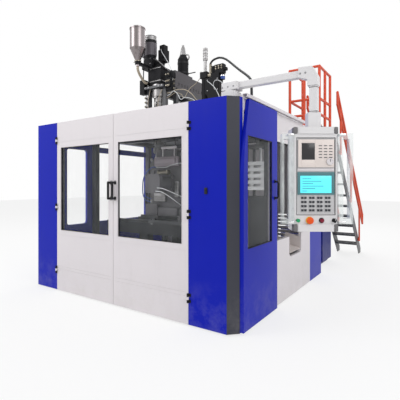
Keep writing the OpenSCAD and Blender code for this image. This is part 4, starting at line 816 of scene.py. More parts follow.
class Stamps:
    """Geometry Nodes trees that set one small shape at every point of a mesh."""

    def __init__(self) -> None:
        """Build the trees once."""
        self.bolt = self._tree("bolt_heads", ("Radius", "Height"), self._bolt)
        self.cap = self._tree("key_caps", ("Width", "Depth", "Height"), self._cap)

    @staticmethod
    def _tree(name: str, sizes: Sequence[str], draw: Callable) -> bpy.types.NodeTree:
        """Make a tree that repeats what draw makes.

        Args:
            name: The tree's name.
            sizes: Names of its size inputs.
            draw: Function that adds the shape's nodes and gives its socket.

        Returns:
            The tree.
        """
        tree = bpy.data.node_groups.new(name, "GeometryNodeTree")
        add = tree.interface.new_socket
        add(name="Geometry", in_out="INPUT", socket_type="NodeSocketGeometry")
        for size in sizes:
            add(name=size, in_out="INPUT", socket_type="NodeSocketFloat")
        add(name="Finish", in_out="INPUT", socket_type="NodeSocketMaterial")
        add(name="Geometry", in_out="OUTPUT", socket_type="NodeSocketGeometry")
        source, sink = tree.nodes.new("NodeGroupInput"), tree.nodes.new("NodeGroupOutput")
        shape = draw(tree, source.outputs)
        spread = wire(tree, "GeometryNodeInstanceOnPoints",
                      {"Points": source.outputs["Geometry"], "Instance": shape})
        real = wire(tree, "GeometryNodeRealizeInstances", {0: spread.outputs[0]})
        done = wire(tree, "GeometryNodeSetMaterial",
                    {"Geometry": real.outputs[0], "Material": source.outputs["Finish"]})
        tree.links.new(done.outputs[0], sink.inputs[0])
        return tree

    @staticmethod
    def _raised(tree: bpy.types.NodeTree, shape: Any, height: Any) -> bpy.types.NodeSocket:
        """Lift a shape along Z by a height."""
        lift = wire(tree, "ShaderNodeCombineXYZ", {"Z": height}).outputs[0]
        return wire(tree, "GeometryNodeTransform", {"Geometry": shape, "Translation": lift}).outputs[0]

    @classmethod
    def _disc(cls, tree: bpy.types.NodeTree, sides: int, radius: Any,
              height: Any) -> bpy.types.NodeSocket:
        """Draw a standing disc whose underside is at zero.

        Returns:
            The disc's socket.
        """
        made = wire(tree, "GeometryNodeMeshCylinder",
                    {"Vertices": sides, "Radius": radius, "Depth": height}).outputs["Mesh"]
        return cls._raised(tree, made, maths(tree, "MULTIPLY", height, 0.5))

    @classmethod
    def _bolt(cls, tree: bpy.types.NodeTree, at: Any) -> bpy.types.NodeSocket:
        """Draw a hexagon head on its washer.

        Returns:
            The bolt's socket.
        """
        washer = cls._disc(tree, 12, maths(tree, "MULTIPLY", at["Radius"], 1.45),
                           maths(tree, "MULTIPLY", at["Height"], 0.3))
        head = cls._disc(tree, 6, at["Radius"], at["Height"])
        join = tree.nodes.new("GeometryNodeJoinGeometry")
        for shape in (washer, head):
            tree.links.new(shape, join.inputs[0])
        return join.outputs[0]

    @classmethod
    def _cap(cls, tree: bpy.types.NodeTree, at: Any) -> bpy.types.NodeSocket:
        """Draw a stepped rectangular cap.

        Returns:
            The cap's socket.
        """
        join = tree.nodes.new("GeometryNodeJoinGeometry")
        for share, rise in ((1.0, 0.7), (0.82, 1.0)):
            height = maths(tree, "MULTIPLY", at["Height"], rise)
            ins = {"X": maths(tree, "MULTIPLY", at["Width"], share),
                   "Y": maths(tree, "MULTIPLY", at["Depth"], share), "Z": height}
            size = wire(tree, "ShaderNodeCombineXYZ", ins).outputs[0]
            block = wire(tree, "GeometryNodeMeshCube", {"Size": size}).outputs["Mesh"]
            tree.links.new(cls._raised(tree, block, maths(tree, "MULTIPLY", height, 0.5)), join.inputs[0])
        return join.outputs[0]


STAMPS = Stamps()


def stamp(name: str, tree: bpy.types.NodeTree, points: Iterable[Point], sizes: dict, finish: str, body: str,
          slot: str, facing: Facing = Facing.FRONT, place: Optional[Matrix] = None) -> bpy.types.Object:
    """Set one small shape at every point and keep the result as one plain mesh.

    Args:
        name: The piece's name.
        tree: The shape's tree.
        points: Places in metres.
        sizes: Values of the tree's size inputs, in metres.
        finish: Name of the finish.
        body: The body that the piece rides on.
        slot: The record's material slot; not used.
        facing: The shapes' direction.
        place: Frame of the sub-assembly, where it is turned.

    Returns:
        The piece.
    """
    turn = facing.matrix() if place is None else place @ facing.matrix()
    back = turn.inverted()
    dots = bpy.data.meshes.new(name + "_dots")
    dots.from_pydata([back @ Vector(p) for p in points], [], [])
    carrier = bpy.data.objects.new(name + "_dots", dots)
    bpy.context.scene.collection.objects.link(carrier)
    modifier = carrier.modifiers.new("stamp", "NODES")
    modifier.node_group = tree
    values = dict(sizes, Finish=STORE[finish])
    for item in tree.interface.items_tree:
        if item.in_out == "INPUT" and item.name in values:
            modifier[item.identifier] = values[item.name]
    graph = bpy.context.evaluated_depsgraph_get()
    mesh = bpy.data.meshes.new_from_object(carrier.evaluated_get(graph), depsgraph=graph)
    carrier.modifiers.clear()
    bpy.data.objects.remove(carrier)
    mesh.name = name
    mesh.transform(turn)
    mesh.update()
    return mounted(name, mesh, body)


def bolts(name: str, points: Iterable[Point], radius: float, height: float, *rest: Any,
          **more: Any) -> None:
    """Stamp bolt heads of a radius and height in millimetres, with the rest as in stamp."""
    stamp(name, STAMPS.bolt, points, {"Radius": radius / 1000.0, "Height": height / 1000.0}, *rest, **more)


def grid(columns: Sequence[float], rows: Sequence[float], depth: float) -> list:
    """Give points in an upright plane, from places along X and heights, in metres."""
    return [mm(x, depth, z) for x in columns for z in rows]


def smooth(route: Sequence[Point], steps: int) -> list:
    """Draw a Catmull-Rom curve through a route.

    Args:
        route: Points that the curve passes.
        steps: Parts that each stretch is cut into.

    Returns:
        The curve's points.
    """
    points = [Vector(p) for p in route]
    last = len(points) - 1
    out = []
    for i in range(last):
        a, b, c, d = points[max(i - 1, 0)], points[i], points[i + 1], points[min(i + 2, last)]
        for k in range(steps):
            t = k / steps
            out.append(0.5 * (2 * b + (c - a) * t + (2 * a - 5 * b + 4 * c - d) * t * t
                              + (3 * b - a - 3 * c + d) * t * t * t))
    return out + [points[last]]


@dataclass(frozen=True)
class Hose:
    """One hose or cable along a route of points in millimetres."""

    name: str
    route: tuple
    diameter: float
    finish: str
    slot: str
    body: str = "machine"
    steps: int = 4
    stiffness: str = "medium"
    stands_for: str = ""

    def build(self) -> bpy.types.Object:
        """Returns:
            The tube.
        """
        path = [Vector(mm(*p)) for p in smooth(self.route, self.steps)]
        blank = Blank().pipe(path, self.diameter / 2000.0, 16 if self.diameter > 15 else 10)
        piece = blank.part(self.name, self.finish, self.body, self.slot, smooth=60.0)
        if self.stands_for:
            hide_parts(self.stands_for)
        return piece


def moved(route: Sequence[Point], shift: Point, scale: Point = (1.0, 1.0, 1.0)) -> tuple:
    """Scale a route and move it."""
    return tuple(tuple(p * k + d for p, k, d in zip(point, scale, shift)) for point in route)


class Hoses:
    """Every free hose and cable of the machine."""

    BLOW = ((0, 0, 0), (0, 0, 20), (0, 0, 40), (60, -20, 72), (190, -75, 62), (360, -195, -30),
            (560, -355, -190), (735, -520, -330), (880, -660, -440), (1000, -795, -545), (1045, -870, -640),
            (1055, -885, -710), (1055, -885, -806), (1055, -885, -831), (1055, -885, -855.7))
    FEED = ((0, 0, 0), (0, 0, -20), (0, 0, -40), (-4, 30, -90), (-6, 90, -150), (-3, 140, -195),
            (0, 168, -206), (0, 185, -206), (0, 202, -206))
    CLAMP = ((25, -810, 1330), (3, -810, 1330), (-19, -810, 1330), (-60, -815, 1296), (-78, -820, 1195),
             (-60, -815, 1094), (-19, -810, 1060), (3, -810, 1060), (25, -810, 1060))

    # Name, diameter, finish and slot of each thin cable on the roof, then its route
    ROOF_LINES = (
        ("motor_cable", 16, "hose_black", "hose_black", (-738, -70, 3560), (-752, -74, 3490),
         (-756, -80, 3330), (-750, -98, 3160), (-742, -108, 3060), (-740, -110, 3017)),
        ("valve_cable", 9, "hose_white", "hose_black", (-448, -34, 3470), (-400, -60, 3400),
         (-300, -80, 3270), (-220, -76, 3120), (-190, -66, 2990), (-230, -62, 2890), (-300, -60, 2840)),
        ("heater_cable_one", 9, "hose_beige", "hose_beige", (-470, -112, 2100), (-440, -150, 2160),
         (-420, -160, 2300), (-415, -158, 2500), (-400, -140, 2700), (-360, -110, 2830)),
        ("heater_cable_two", 9, "hose_beige", "hose_beige", (-530, -112, 2320), (-575, -150, 2370),
         (-600, -160, 2500), (-606, -156, 2650), (-600, -130, 2780), (-590, -120, 2860)),
        ("air_pipe_one", 9, "hose_white", "hose_black", (430, -68, 2830), (480, -150, 2800),
         (560, -185, 2740), (640, -190, 2650), (690, -160, 2500), (680, -100, 2300), (660, -60, 2193)),
        ("air_pipe_two", 9, "hose_white", "hose_black", (540, -68, 2700), (565, -140, 2760),
         (634, -180, 2785), (720, -170, 2740), (780, -120, 2600), (790, -60, 2400), (790, -40, 2193)),
        ("head_conduit", 15, "cap_grey", "machined_steel", (-570, -72, 3335), (-540, -72, 3330),
         (-470, -74, 3285), (-390, -72, 3215), (-350, -20, 3160), (-345, 80, 3132), (-345, 169, 3140)),
        ("oil_line_one", 13, "hose_beige", "hose_beige", (-309, -60, 2776), (-230, -72, 2768),
         (-110, -104, 2780), (-22, -120, 2772), (83, -120, 2750), (180, -100, 2680), (240, -70, 2600),
         (293, -10, 2560)),
        ("oil_line_two", 10, "hose_white", "hose_black", (-309, -55, 2736), (-230, -75, 2745),
         (-150, -112, 2770), (-60, -130, 2720), (10, -140, 2620), (90, -130, 2640), (200, -90, 2600),
         (293, -8, 2500)),
        ("oil_line_three", 9, "hose_beige", "hose_beige", (-309, -65, 2700), (-220, -85, 2716),
         (-110, -98, 2745), (0, -110, 2700), (60, -120, 2640), (140, -100, 2760), (230, -60, 2840),
         (284.5, -10, 2935)),
    )
    # Name, diameter and finish of each thin hose on the clamp, then its route
    CLAMP_LINES = (
        ("clamp_line_one", 13, "hose_blue", (170, -852, 1600), (140, -890, 1606), (86, -915, 1565),
         (25, -925, 1480), (-5, -915, 1372), (-12, -900, 1262), (20, -885, 1195), (78, -855, 1170)),
        ("clamp_line_two", 11, "hose_blue", (170, -852, 1430), (150, -895, 1430), (110, -912, 1416),
         (54, -915, 1372), (22, -905, 1300), (30, -890, 1235), (84, -855, 1210)),
        ("clamp_line_three", 9, "hose_white", (420, -1131, 1350), (462, -1160, 1350), (530, -1168, 1344),
         (605, -1165, 1322), (690, -1110, 1278), (705, -990, 1235), (665, -885, 1200), (612, -852, 1190)),
        ("clamp_line_four", 9, "hose_white", (400, -1131, 1312), (440, -1162, 1312), (520, -1168, 1304),
         (610, -1160, 1262), (676, -1100, 1196), (684, -980, 1130), (645, -885, 1092), (600, -852, 1080)),
        ("clamp_line_five", 11, "hose_white", (190, -852, 1600), (215, -912, 1604), (291, -930, 1598),
         (381, -930, 1596), (469, -930, 1620), (560, -905, 1640), (600, -852, 1640)),
    )

    def build(self) -> None:
        """Make them all."""
        Hose("blow_hose_tube", moved(self.BLOW, (445, -20, 3048)), 28, "hose_black", "hose_black", steps=3,
             stands_for="blow_hose").build()
        Hose("feed_hose_tube", moved(self.FEED, (-655, -327, 3165.7), (1, 201.7 / 202, 205.7 / 206)), 38,
             "hose_beige", "hose_beige", stands_for="hopper_hose").build()
        Hose("clamp_hose_tube", moved(self.CLAMP, (39.7, 0, 0)), 32, "hose_black", "hose_black",
             "clamp_frame", stands_for="clamp_hose").build()
        for name, wide, finish, slot, *route in self.ROOF_LINES:
            Hose(name, tuple(route), wide, finish, slot, steps=5).build()
        for name, wide, finish, *route in self.CLAMP_LINES:
            Hose(name, tuple(route), wide, finish, "hose_black", "clamp_frame", steps=5).build()


@dataclass
class Pendant:
    """Dress of the operator pendant, in its own turned frame."""

    axis: float = -16.0
    half: float = 181.0
    low: float = 1002.0
    high: float = 1857.0
    face: float = -95.0
    plate: float = -89.0
    inset: float = 1141.0
    spots: tuple = (-163.0, -68.0, 30.0, 132.0)
    knob_z: float = 1093.0

    def add(self, name: str, finish: str, slot: str, *blocks: tuple, bevel: float = 1.5) -> None:
        """Make one piece from boxes given in the pendant's millimetres."""
        Blank().boxes(bevel, *blocks).part(name, finish, "pendant_head", slot, HEAD)

    def build(self) -> None:
        """Dress the head from top to bottom."""
        c, f, z = self.axis, self.face, self.inset
        corners = []
        for side in (-1, 1):
            x0, x1 = sorted((c + side * 183, c + side * 150))
            corners += [(x0, f - 9, self.low - 1, x1, f + 60, self.low + 61),
                        (x0, f - 9, self.high - 57, x1, f + 60, self.high + 1)]
        self.add("corner_caps", "corner_plastic", "black_plastic", *corners, bevel=9)
        self.add("front_rim", "corner_plastic", "black_plastic",
                 *border((c - 160, c + 160, z - 5, z + 630), (c - 156, c + 156, z - 1, z + 626),
                         f - 3, f + 13))
        top = self.plate - 12.2
        self.add("instrument_face", "cream_face", "panel_face",
                 *border((c - 147, c + 147, z + 385, z + 613), (c - 119, c - 10, z + 447, z + 584),
                         top - 2, top))
        self.add("instrument_screen", "screen_dark", "switch_black",
                 (c - 117.5, top + 1, z + 448.5, c - 11.5, top + 4, z + 582.5))
        self.add("mark_column", "corner_plastic", "black_plastic",
                 *[(c + 20 + 42 * i, top - 3, z + 462 + 24 * k, c + 48 + 42 * i, top - 1.5, z + 470 + 24 * k)
                   for i in range(3) for k in range(5)], bevel=0.4)
        self.add("lcd_bezel", "bezel_teal", "panel_face",
                 *border((c - 151, c + 151, z + 162, z + 348), (c - 128, c + 128, z + 176, z + 318),
                         f - 3, f - 1))
        self.add("lcd_glass", "lcd_cyan", "panel_face",
                 (c - 127, f - 0.6, z + 177, c + 127, f + 0.6, z + 317))
        self.add("lcd_rows", "lcd_ink", "switch_black",
                 *[(c - 112, f - 1.1, z + 190 + 20 * k, c - 72 + (k * 67) % 150, f - 0.8, z + 195 + 20 * k)
                   for k in range(6)], bevel=0.0)
        self.add("white_strip", "guard_white", "panel_face",
                 (c - 150, self.plate - 4, z + 356, c + 150, self.plate, z + 378))
        self.add("keypad_field", "keypad_grey", "panel_face",
                 *[(c - 126 + g * 65, self.plate - 2, z + 18, c - 70 + g * 65, self.plate - 0.2, z + 154)
                   for g in range(4)], bevel=0.8)
        keys = [HEAD @ Vector(mm(c - 110.5 + g * 65 + i * 25, self.plate - 4.2, z + 35 + 34 * k))
                for g in range(4) for i in range(2) for k in range(4)]
        stamp("keypad_caps", STAMPS.cap, keys, {"Width": 0.0195, "Depth": 0.0185, "Height": 0.004},
              "key_dark", "pendant_head", "switch_black", place=HEAD)
        screws = [HEAD @ Vector(mm(c + x, self.plate, z + y)) for x in (-150, 150) for y in (10, 310, 617)]
        bolts("face_screws", screws, 3.5, 3, "bright_rod", "pendant_head", "pendant_alu", place=HEAD)
        self.dial()
        self.collars()
        self.joints()
        self.grips()

    def dial(self) -> None:
        """Turn the small round instrument with its pointer."""
        centre = (96, self.plate - 22, self.inset + 432)
        rim = [(0, 0), (27, 0), (28, 2), (28, 5), (23, 6), (22.5, 3), (0, 3)]
        dial = Blank().turned(centre, (0, -1, 0), rim)
        dial.part("dial_rim", "guard_white", "pendant_head", "panel_face", HEAD)
        y, z = self.plate, self.inset
        self.add("dial_pointer", "black_plastic", "switch_black",
                 (94.5, y - 27.5, z + 430, 97.5, y - 25.5, z + 452), bevel=0.4)

    def collars(self) -> None:
        """Turn the ring round each control, and mark the selector."""
        rings = (("start_collar", "bright_rod", 20), ("stop_collar", "yellow_collar", 31),
                 ("motor_collar", "black_plastic", 22), ("selector_collar", "bright_rod", 22))
        for (name, finish, wide), x in zip(rings, self.spots):
            inner = 13.6 if wide < 30 else 15.0
            profile = [(inner, 0.0), (wide, 0.0), (wide, 2.4), (wide - 1.2, 3.4), (inner, 3.4)]
            blank = Blank().loop((x, self.face, self.knob_z), profile, axis=(0, -1, 0))
            blank.part(name, finish, "pendant_head", "pendant_alu", HEAD)
        x, y, z = self.spots[3], self.face, self.knob_z
        mark = Blank().box(x - 1.6, y - 32.6, z + 2, x + 1.6, y - 31.8, z + 15)
        mark.part("selector_mark", "guard_white", "selector_switch", "panel_face", HEAD)

    def joints(self) -> None:
        """Add the bands of the column and the screws of the arm."""
        x, y = COLUMN
        bands = Blank()
        for low, high, out in ((1987.4, 1993, 36), (1999, 2003, 35), (2200, 2206, 35)):
            bands.box(x - out, y - out, low, x + out, y + out, high, 2)
        bands.part("column_bands", "corner_plastic", "pendant_arm", "black_plastic")
        points = [mm(x - 121 + 25 * i, y - 44, 2330) for i in (0.6, 2.4)]
        points += [mm(1365 + 60 * i, y - 62, 2320) for i in (0, 1, 2)]
        bolts("arm_screws", points, 6, 5, "worn_steel", "pendant_arm", "pendant_alu")

    def grips(self) -> None:
        """Add the dark end clamps of the two clear handles."""
        c, f = self.axis, self.face
        blocks = []
        for side, reach in ((-1, 99), (1, 118)):
            for z in (1070, 1784):
                x0, x1 = sorted((c + side * (self.half + 4), c + side * (self.half + reach * 0.5)))
                blocks.append((x0, f - 17, z, x1, f + 49, z + 16))
        self.add("grip_clamps", "bright_rod", "pendant_alu", *blocks, bevel=3)


@dataclass
class Doors:
    """Dress of the two front doors, the side door and the walls."""

    face: float = -1410.0
    sill: float = 798.0
    head: float = 1870.0
    near: float = 77.0
    far: float = 980.0

    @staticmethod
    def rim(x0: float, x1: float, z0: float, z1: float, y0: float, y1: float, width: float) -> Blank:
        """Make a rectangular rim in a plane across Y, in millimetres."""
        inner = (x0 + width, x1 - width, z0 + width, z1 - width)
        return Blank().boxes(1.5, *border((x0, x1, z0, z1), inner, y0, y1))

    def build(self) -> None:
        """Dress the doors and walls."""
        for side, body in ((-1, "left_door"), (1, "right_door")):
            x0, x1 = sorted((side * (self.near - 1), side * (self.far + 1)))
            self.rim(x0 + 1, x1 - 1, self.sill, self.head, self.face + 6, self.face + 23, 7).part(
                body + "_gasket", "black_plastic", body, "black_plastic")
            self.rim(x0 - 7, x1 + 7, self.sill - 7, self.head + 7, self.face - 2.5, self.face - 0.2, 8).part(
                body + "_frame", "guard_white", body, "guard_white")
            low, high = sorted((side * 33 - 17, side * 33 + 17))
            plates = Blank()
            for z in (1229, 1412):
                plates.box(low, self.face - 5.5, z - 22, high, self.face - 0.3, z + 22, 2)
            plates.part(body + "_grip_plates", "black_plastic", body, "black_plastic")
            bolts(body + "_grip_screws", grid((side * 33 - 9, side * 33 + 9), (1214, 1428), self.face - 5.5),
                  3.5, 3, "bright_rod", body, "black_plastic")
            leaf = [mm(side * 1063 - side * (12 + 14 * (i % 2)), self.face - 4, z + 32 + 12 * i)
                    for z in (232, 1050, 1919) for i in range(3)]
            bolts(body + "_hinge_screws", leaf, 4, 3, "bright_rod", body, "black_plastic")
        lock = Blank().box(1250, -1419, 1296, 1286, -1410.2, 1358, 4)
        lock.turned((1268, -1419, 1335), (0, -1, 0), [(11, 0), (11, 6), (8, 9)], 20)
        lock.part("panel_lock", "black_plastic", "machine", "black_plastic")
        self.side()

    def side(self) -> None:
        """Dress the sliding door, its grip and the edges of the bays."""
        gasket = Blank()
        for y0, y1, z0, z1 in ((-1234, -1227, 782, 1848), (-659, -652, 782, 1848), (-1227, -659, 782, 789),
                               (-1227, -659, 1841, 1848)):
            gasket.box(1600, y0, z0, 1617, y1, z1, 1.5)
        gasket.part("side_gasket", "black_plastic", "side_door", "black_plastic")
        route = ((1619, 1240), (1652, 1246), (1660, 1262), (1660, 1400), (1652, 1416), (1619, 1422))
        grip = Blank().pipe([mm(x, -575, z) for x, z in route], 0.011)
        for z in (1240, 1422):
            grip.box(1619.2, -592, z - 18, 1625, -558, z + 18, 2)
        grip.part("side_grip", "black_plastic", "side_door", "black_plastic")
        edge = Blank()
        for y0, y1, z0, z1 in ((-420, -411, 760, 1868), (793, 802, 760, 1868), (-411, 793, 1868, 1877)):
            edge.box(1541, y0, z0, 1581, y1, z1, 1.5)
        edge.part("bay_edging", "black_plastic", "machine", "black_plastic")


@dataclass
class HeadGear:
    """What is bolted round the die head, the stripe extruder and the accumulator."""

    x: float = -500.0
    stripe_x: float = -655.0
    stripe_y: float = -35.0
    hopper_y: float = -327.0
    bottle: tuple = (-450, 539)
    terminal_step: float = 146
    plug_step: float = 66

    def build(self) -> None:
        """Add it from the hopper down to the roof."""
        self.hopper()
        self.motor()
        self.housing()
        self.manifold()
        self.fittings()
        self.accumulator()

    def hopper(self) -> None:
        """Add the lid knob, the spout flange with its slide and two seams."""
        at = (self.stripe_x, self.hopper_y)
        blank = Blank().turned((*at, 3750.5), (0, 0, 1), [(12, 0), (9, 12), (20, 20), (20, 30), (12, 37)], 20)
        for z in (3428, 3700):
            blank.ring((*at, z), 117.5, 119.4, 14, 2, 40)
        blank.part("hopper_trim", "stainless", "machine", "stainless")
        flange = Blank().loop((*at, 3237), [(31.2, 0), (50, 0), (50, 12), (33.5, 12)], 28)
        flange.box(at[0] - 84, at[1] - 9, 3239, at[0] - 49, at[1] + 9, 3245, 2)
        flange.box(at[0] + 49, at[1] - 12, 3239, at[0] + 66, at[1] + 12, 3247, 2)
        flange.part("spout_flange", "brass_dull", "machine", "machined_steel")

    def motor(self) -> None:
        """Add the motor's bands, its ribbed sleeve, its terminal box and the gearbox bolts."""
        at = (self.stripe_x, self.stripe_y)
        cap = Blank().ring((*at, 3640), 92.5, 94, 60, 2, 44)
        cap.part("motor_cap_band", "cap_grey", "machine", "cast_grey")
        sleeve = Blank().ring((*at, 3404), 91.2, 93.5, 196, 2, 44)
        for k in range(12):
            angle = math.tau * k / 12
            sleeve.box(93, -3, 3412, 97.5, 3, 3592, 1,
                         Matrix.Translation(mm(*at, 0)) @ Matrix.Rotation(angle, 4, "Z"))
        sleeve.part("motor_sleeve", "motor_grey", "machine", "cast_grey")
        dark = Blank().ring((*at, 3604), 92.5, 96.5, 14, 1, 44)
        dark.part("motor_dark_band", "black_plastic", "machine", "black_plastic")
        box = Blank().box(at[0] - 128, at[1] - 62, 3390, at[0] - 82, at[1] + 38, 3486, 6)
        box.box(at[0] - 132, at[1] - 58, 3396, at[0] - 128, at[1] + 34, 3480, 2)
        box.part("terminal_box", "cast_grey", "machine", "cast_grey")
        spots = [mm(at[0] + x, at[1] - 84, z) for x in (-66, 66) for z in (3256, 3338)]
        bolts("gearbox_bolts", spots, 8, 8, "worn_steel", "machine", "machined_steel")

    def housing(self) -> None:
        """Add the dark housing round the head's top, its light bands and the heaters' cover and terminals."""
        x = self.x
        shell = Blank()
        for low, high in (((x - 92, -125), (x + 122, -110)), ((x + 107, -110), (x + 122, 95)),
                          ((x - 92, 112), (x + 107, 127)), ((x - 92, -110), (x - 77, -70))):
            shell.box(*low, 2928, *high, 3186, 3)
        shell.box(x + 118, -128, 3150, x + 130, 30, 3186, 3)
        shell.part("head_housing", "black_paint", "machine", "black_paint")
        bands = Blank()
        for z, tall in ((3158, 10), (2962, 14)):
            bands.box(x - 94, -130, z, x + 124, -125, z + tall, 2)
            bands.box(x + 122, -125, z, x + 127, 95, z + tall, 2)
        bands.part("housing_bands", "cap_grey", "machine", "machined_steel")
        cover = Blank().ring((x, 0, 2740), 89.5, 116.5, 116, 4, 48)
        cover.part("band_cover", "heater_steel", "machine", "heater")
        box = Blank()
        for k in range(5):
            z = 2010 + self.terminal_step * k
            box.box(x - 22, -117, z, x + 22, -89, z + 62, 3)
        box.part("heater_terminals", "cap_grey", "machine", "heater")
        spots = [mm(x + dx, -117, 2041 + self.terminal_step * k) for dx in (-12, 12) for k in range(5)]
        bolts("heater_bolts", spots, 5, 6, "brass_dull", "machine", "heater")
        plate = [mm(px, -150, 2877.5) for px in (-665, -600, -400, -335)]
        bolts("plate_bolts", plate, 9, 8, "worn_steel", "machine", "machined_steel")

    def manifold(self) -> None:
        """Add the dark manifold on the right leg, with its plugs and fittings."""
        block = Blank().box(-309.5, -92, 2802, -196, -18, 3096, 4)
        block.box(-300, -112, 2850, -206, -92, 2960, 4)
        block.box(-196, -80, 2985, -160, -30, 3060, 4)
        block.box(-290, -108, 3000, -215, -92, 3070, 4)
        block.part("oil_manifold", "black_paint", "machine", "black_paint")
        spots = [mm(x, -112, z) for x in (-280, -253, -226) for z in (2872, 2938)]
        bolts("manifold_plugs", spots, 9, 14, "brass_dull", "machine", "machined_steel")
        ring = Blank()
        for x, z in ((-276, 3035), (-232, 3035)):
            ring.turned((x, -108, z), (0, -1, 0), [(12, 0), (12, 12), (8, 14), (8, 24)], 20)
        for z in (2830, 2900, 2960):
            ring.turned((-196, -55, z), (1, 0, 0), [(12, 0), (12, 14), (8, 16), (8, 30)], 20)
        ring.part("manifold_fittings", "brass_dull", "machine", "machined_steel")

    def fittings(self) -> None:
        """Add the column of water fittings on the left leg."""
        column = Blank().box(-688, -117, 2230, -634, -90.5, 2780, 3)
        heights = [2262 + self.plug_step * k for k in range(8)]
        for z in heights:
            column.turned((-661, -117, z), (0, -1, 0),
                          [(16, 0), (16, 10), (10, 12), (10, 22), (14, 22), (14, 34)], 18)
        column.part("water_rail", "cap_grey", "machine", "machined_steel")
        caps = [mm(-661, -151, z) for z in heights]
        bolts("water_plugs", caps, 11, 12, "brass_dull", "machine", "machined_steel")

    def accumulator(self) -> None:
        """Add the accumulator's shoulder, its pipe and its straps."""
        at = self.bottle
        cone = [(52.3, 0), (54.5, 0), (33.5, 118), (30.5, 127), (30.3, 127)]
        shoulder = Blank().loop((*at, 3551), cone, 36)
        shoulder.part("accumulator_shoulder", "cap_grey", "machine", "cast_grey")
        collar = Blank().turned((*at, 3679.4), (0, 0, 1),
                                [(24, 0), (24, 12), (16, 16), (16, 30), (20, 30), (20, 40)], 20)
        route = ((60, 0, 3545), (84, -4, 3548), (118, -8, 3532), (132, -8, 3500), (118, -6, 3470),
                 (91, 0, 3462))
        collar.pipe([mm(at[0] + x, at[1] + y, z) for x, y, z in route], 0.011)
        collar.part("accumulator_pipe", "cap_grey", "machine", "machined_steel")
        straps = Blank()
        for z in (3236, 3400):
            straps.ring((*at, z), 90.5, 94.5, 30, sides=40)
        straps.part("accumulator_straps", "black_plastic", "machine", "black_plastic")


@dataclass
class BlowGear:
    """What is bolted to the roof column of the blow unit."""

    x: float = 345.0
    elbow: tuple = (445, -20)
    cylinder: tuple = (630, 0)
    ring_step: float = 38

    def build(self) -> None:
        """Add the elbow, the dark cover, the gussets, the bolts and the rings."""
        x = self.x
        elbow = Blank().turned((*self.elbow, 2940.3), (0, 0, 1),
                               [(24, 0), (24, 20), (19, 24), (19, 106), (14.5, 106.5)], 24)
        elbow.turned((*self.elbow, 3046), (0, 0, 1), [(14.5, 0), (19, 1), (19, 30), (14.5, 31)], 24)
        elbow.box(405, -44, 2900, 468, 4, 2940, 4)
        elbow.part("blow_elbow", "brass_dull", "machine", "machined_steel")
        outline = ((406, 2860), (596, 2860), (596, 2460), (520, 2400), (406, 2640))
        cover = Blank().slab((0, 3.5, 0), *[(px, -64, pz) for px, pz in outline])
        cover.box(520, -60, 2300, 596, 40, 2651.5, 6)
        cover.part("valve_cover", "black_paint", "machine", "black_paint")
        foot = Blank()
        for left in (x - 124, x + 112):
            foot.slab((0, 102, 0), (left, -51, 2212.5), (left + 12, -51, 2212.5), (left + 12, -51, 2216),
                      (left, -51, 2216))
        foot.slab((0, 12, 0), (x + 52.5, -6, 2212.5), (x + 130, -6, 2212.5), (x + 52.5, -6, 2330))
        foot.slab((0, 12, 0), (x - 52.5, -6, 2212.5), (x - 52.5, -6, 2330), (x - 130, -6, 2212.5))
        foot.part("column_gussets", "black_paint", "machine", "black_paint")
        ends = [mm(x + dx, dy, 2978) for dx in (-44, 44) for dy in (-44, 44)]
        ends += [mm(x + dx, dy, 2212) for dx in (-128, 128) for dy in (-205, 205)]
        bolts("column_bolts", ends, 12, 12, "worn_steel", "machine", "machined_steel",
              Facing.UP)
        sides = [mm(px, -64, pz) for px in (420, 580) for pz in (2846, 2700)]
        bolts("cover_bolts", sides, 6, 5, "worn_steel", "machine", "machined_steel")
        ports = [mm(px, -40, 2990 + 30 * k) for px in (545, 590, 635) for k in (0, 1)]
        bolts("valve_ports", ports, 8, 12, "brass_dull", "machine", "machined_steel")
        band = Blank().ring((*self.cylinder, 2880), 32.2, 36, 14)
        band.part("cylinder_band", "bright_rod", "machine", "machined_steel")
        sleeve = Blank().ring((*self.cylinder, 2840.5), 32.2, 33.8, 39, 1)
        sleeve.part("cylinder_sleeve", "hose_blue", "machine", "black_paint")
        rod = Blank()
        for k in range(4):
            rod.ring((x, 0, 3170 + self.ring_step * k), 32.2, 35, 14, 2)
        rod.part("rod_head_rings", "cap_grey", "blow_slide", "machined_steel")


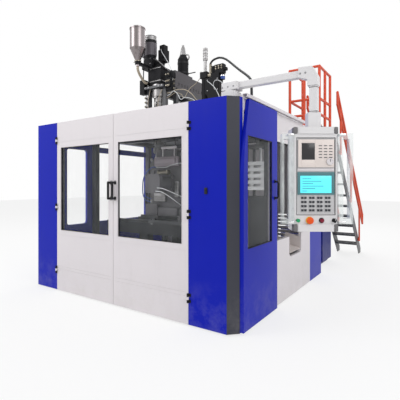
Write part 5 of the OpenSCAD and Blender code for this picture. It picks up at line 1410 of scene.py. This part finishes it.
@dataclass
class ClampGear:
    """What is seen of the clamp behind the front window."""

    face: float = -850.0

    def build(self) -> None:
        """Add the castings, the bar, the valve and the fittings on the end plate's front."""
        f = self.face
        top = Blank().box(164, f - 44, 1611, 536, f - 0.4, 1730, 14)
        top.box(196, f - 62, 1636, 504, f - 44, 1706, 10)
        top.part("clamp_head_box", "mauve_cast", "clamp_frame", "cast_grey")
        bar = Blank().box(285, f - 56, 1818, 515, f - 28, 1850, 8)
        for px in (300, 478):
            bar.box(px, f - 48, 1730, px + 13, f - 36, 1818, 2)
        bar.part("clamp_bar", "guard_white", "clamp_frame", "machined_steel")
        brass = Blank().turned((225, f - 34, 1534), (1, 0, 0), [(26, 0), (30, 4), (30, 170), (26, 174)], 28)
        for px in (240, 372):
            brass.box(px, f - 66, 1502, px + 16, f - 0.4, 1566, 3)
        brass.part("clamp_valve", "brass_dull", "clamp_frame", "machined_steel")
        cast = Blank().box(40, f - 60, 1014, 225, f - 0.4, 1150, 12)
        cast.box(225, f - 46, 1014, 520, f - 0.4, 1110, 8)
        cast.part("clamp_foot_casting", "cast_grey", "clamp_frame", "cast_grey")
        fit = Blank()
        for z in (1330, 1060):
            fit.turned((64.4, -810, z), (-1, 0, 0),
                       [(30, 0), (30, 14), (23.5, 15), (23.5, 30), (17.5, 30.5)], 24)
        fit.box(150, f - 30, 1180, 330, f - 0.4, 1284, 8)
        fit.box(470, f - 24, 1240, 530, f - 0.4, 1430, 6)
        fit.part("clamp_fittings", "cap_grey", "clamp_frame", "machined_steel")
        bolts("end_plate_bolts", grid((90, 600), (900, 1180, 1460, 1700), f), 14, 14, "worn_steel",
              "clamp_frame", "machined_steel")


@dataclass
class Stairway:
    """Dress of the stair and its landing."""

    x0: float = 1345.0
    x1: float = 1765.0
    deck: float = 2230.0
    foot: float = 3700.0
    top: float = 1507.0
    treads: int = 10
    stud_lines: int = 13

    def build(self) -> None:
        """Add the nosings and the deck's tread marks."""
        rise = self.deck - 60.0
        slope = rise / (self.foot - self.top)
        nosing = Blank()
        for i in range(1, self.treads + 1):
            z = i * rise / (self.treads + 1)
            y = self.foot - z / slope
            nosing.box(self.x0 + 8, y + 38, z + 2, self.x1 - 8, y + 46, z + 34, 2)
        nosing.part("tread_nosings", "worn_steel", "machine", "stair_dark")
        marks = [mm(1270 + 36 * i, 905 + 46 * k, self.deck) for i in range(self.stud_lines)
                 for k in range(self.stud_lines)]
        sizes = {"Width": 0.026, "Depth": 0.007, "Height": 0.002}
        stamp("deck_studs", STAMPS.cap, marks, sizes, "stair_dark", "machine", "stair_dark", Facing.UP)


def main() -> None:
    """Build the scene in order."""
    logging.basicConfig(level=logging.INFO, format="%(name)s: %(message)s")
    Viewpoint().build()
    Studio().build()
    Hoses().build()
    dress_frame()
    Doors().build()
    Pendant().build()
    Stairway().build()
    HeadGear().build()
    BlowGear().build()
    ClampGear().build()


if __name__ == "__main__":
    main()
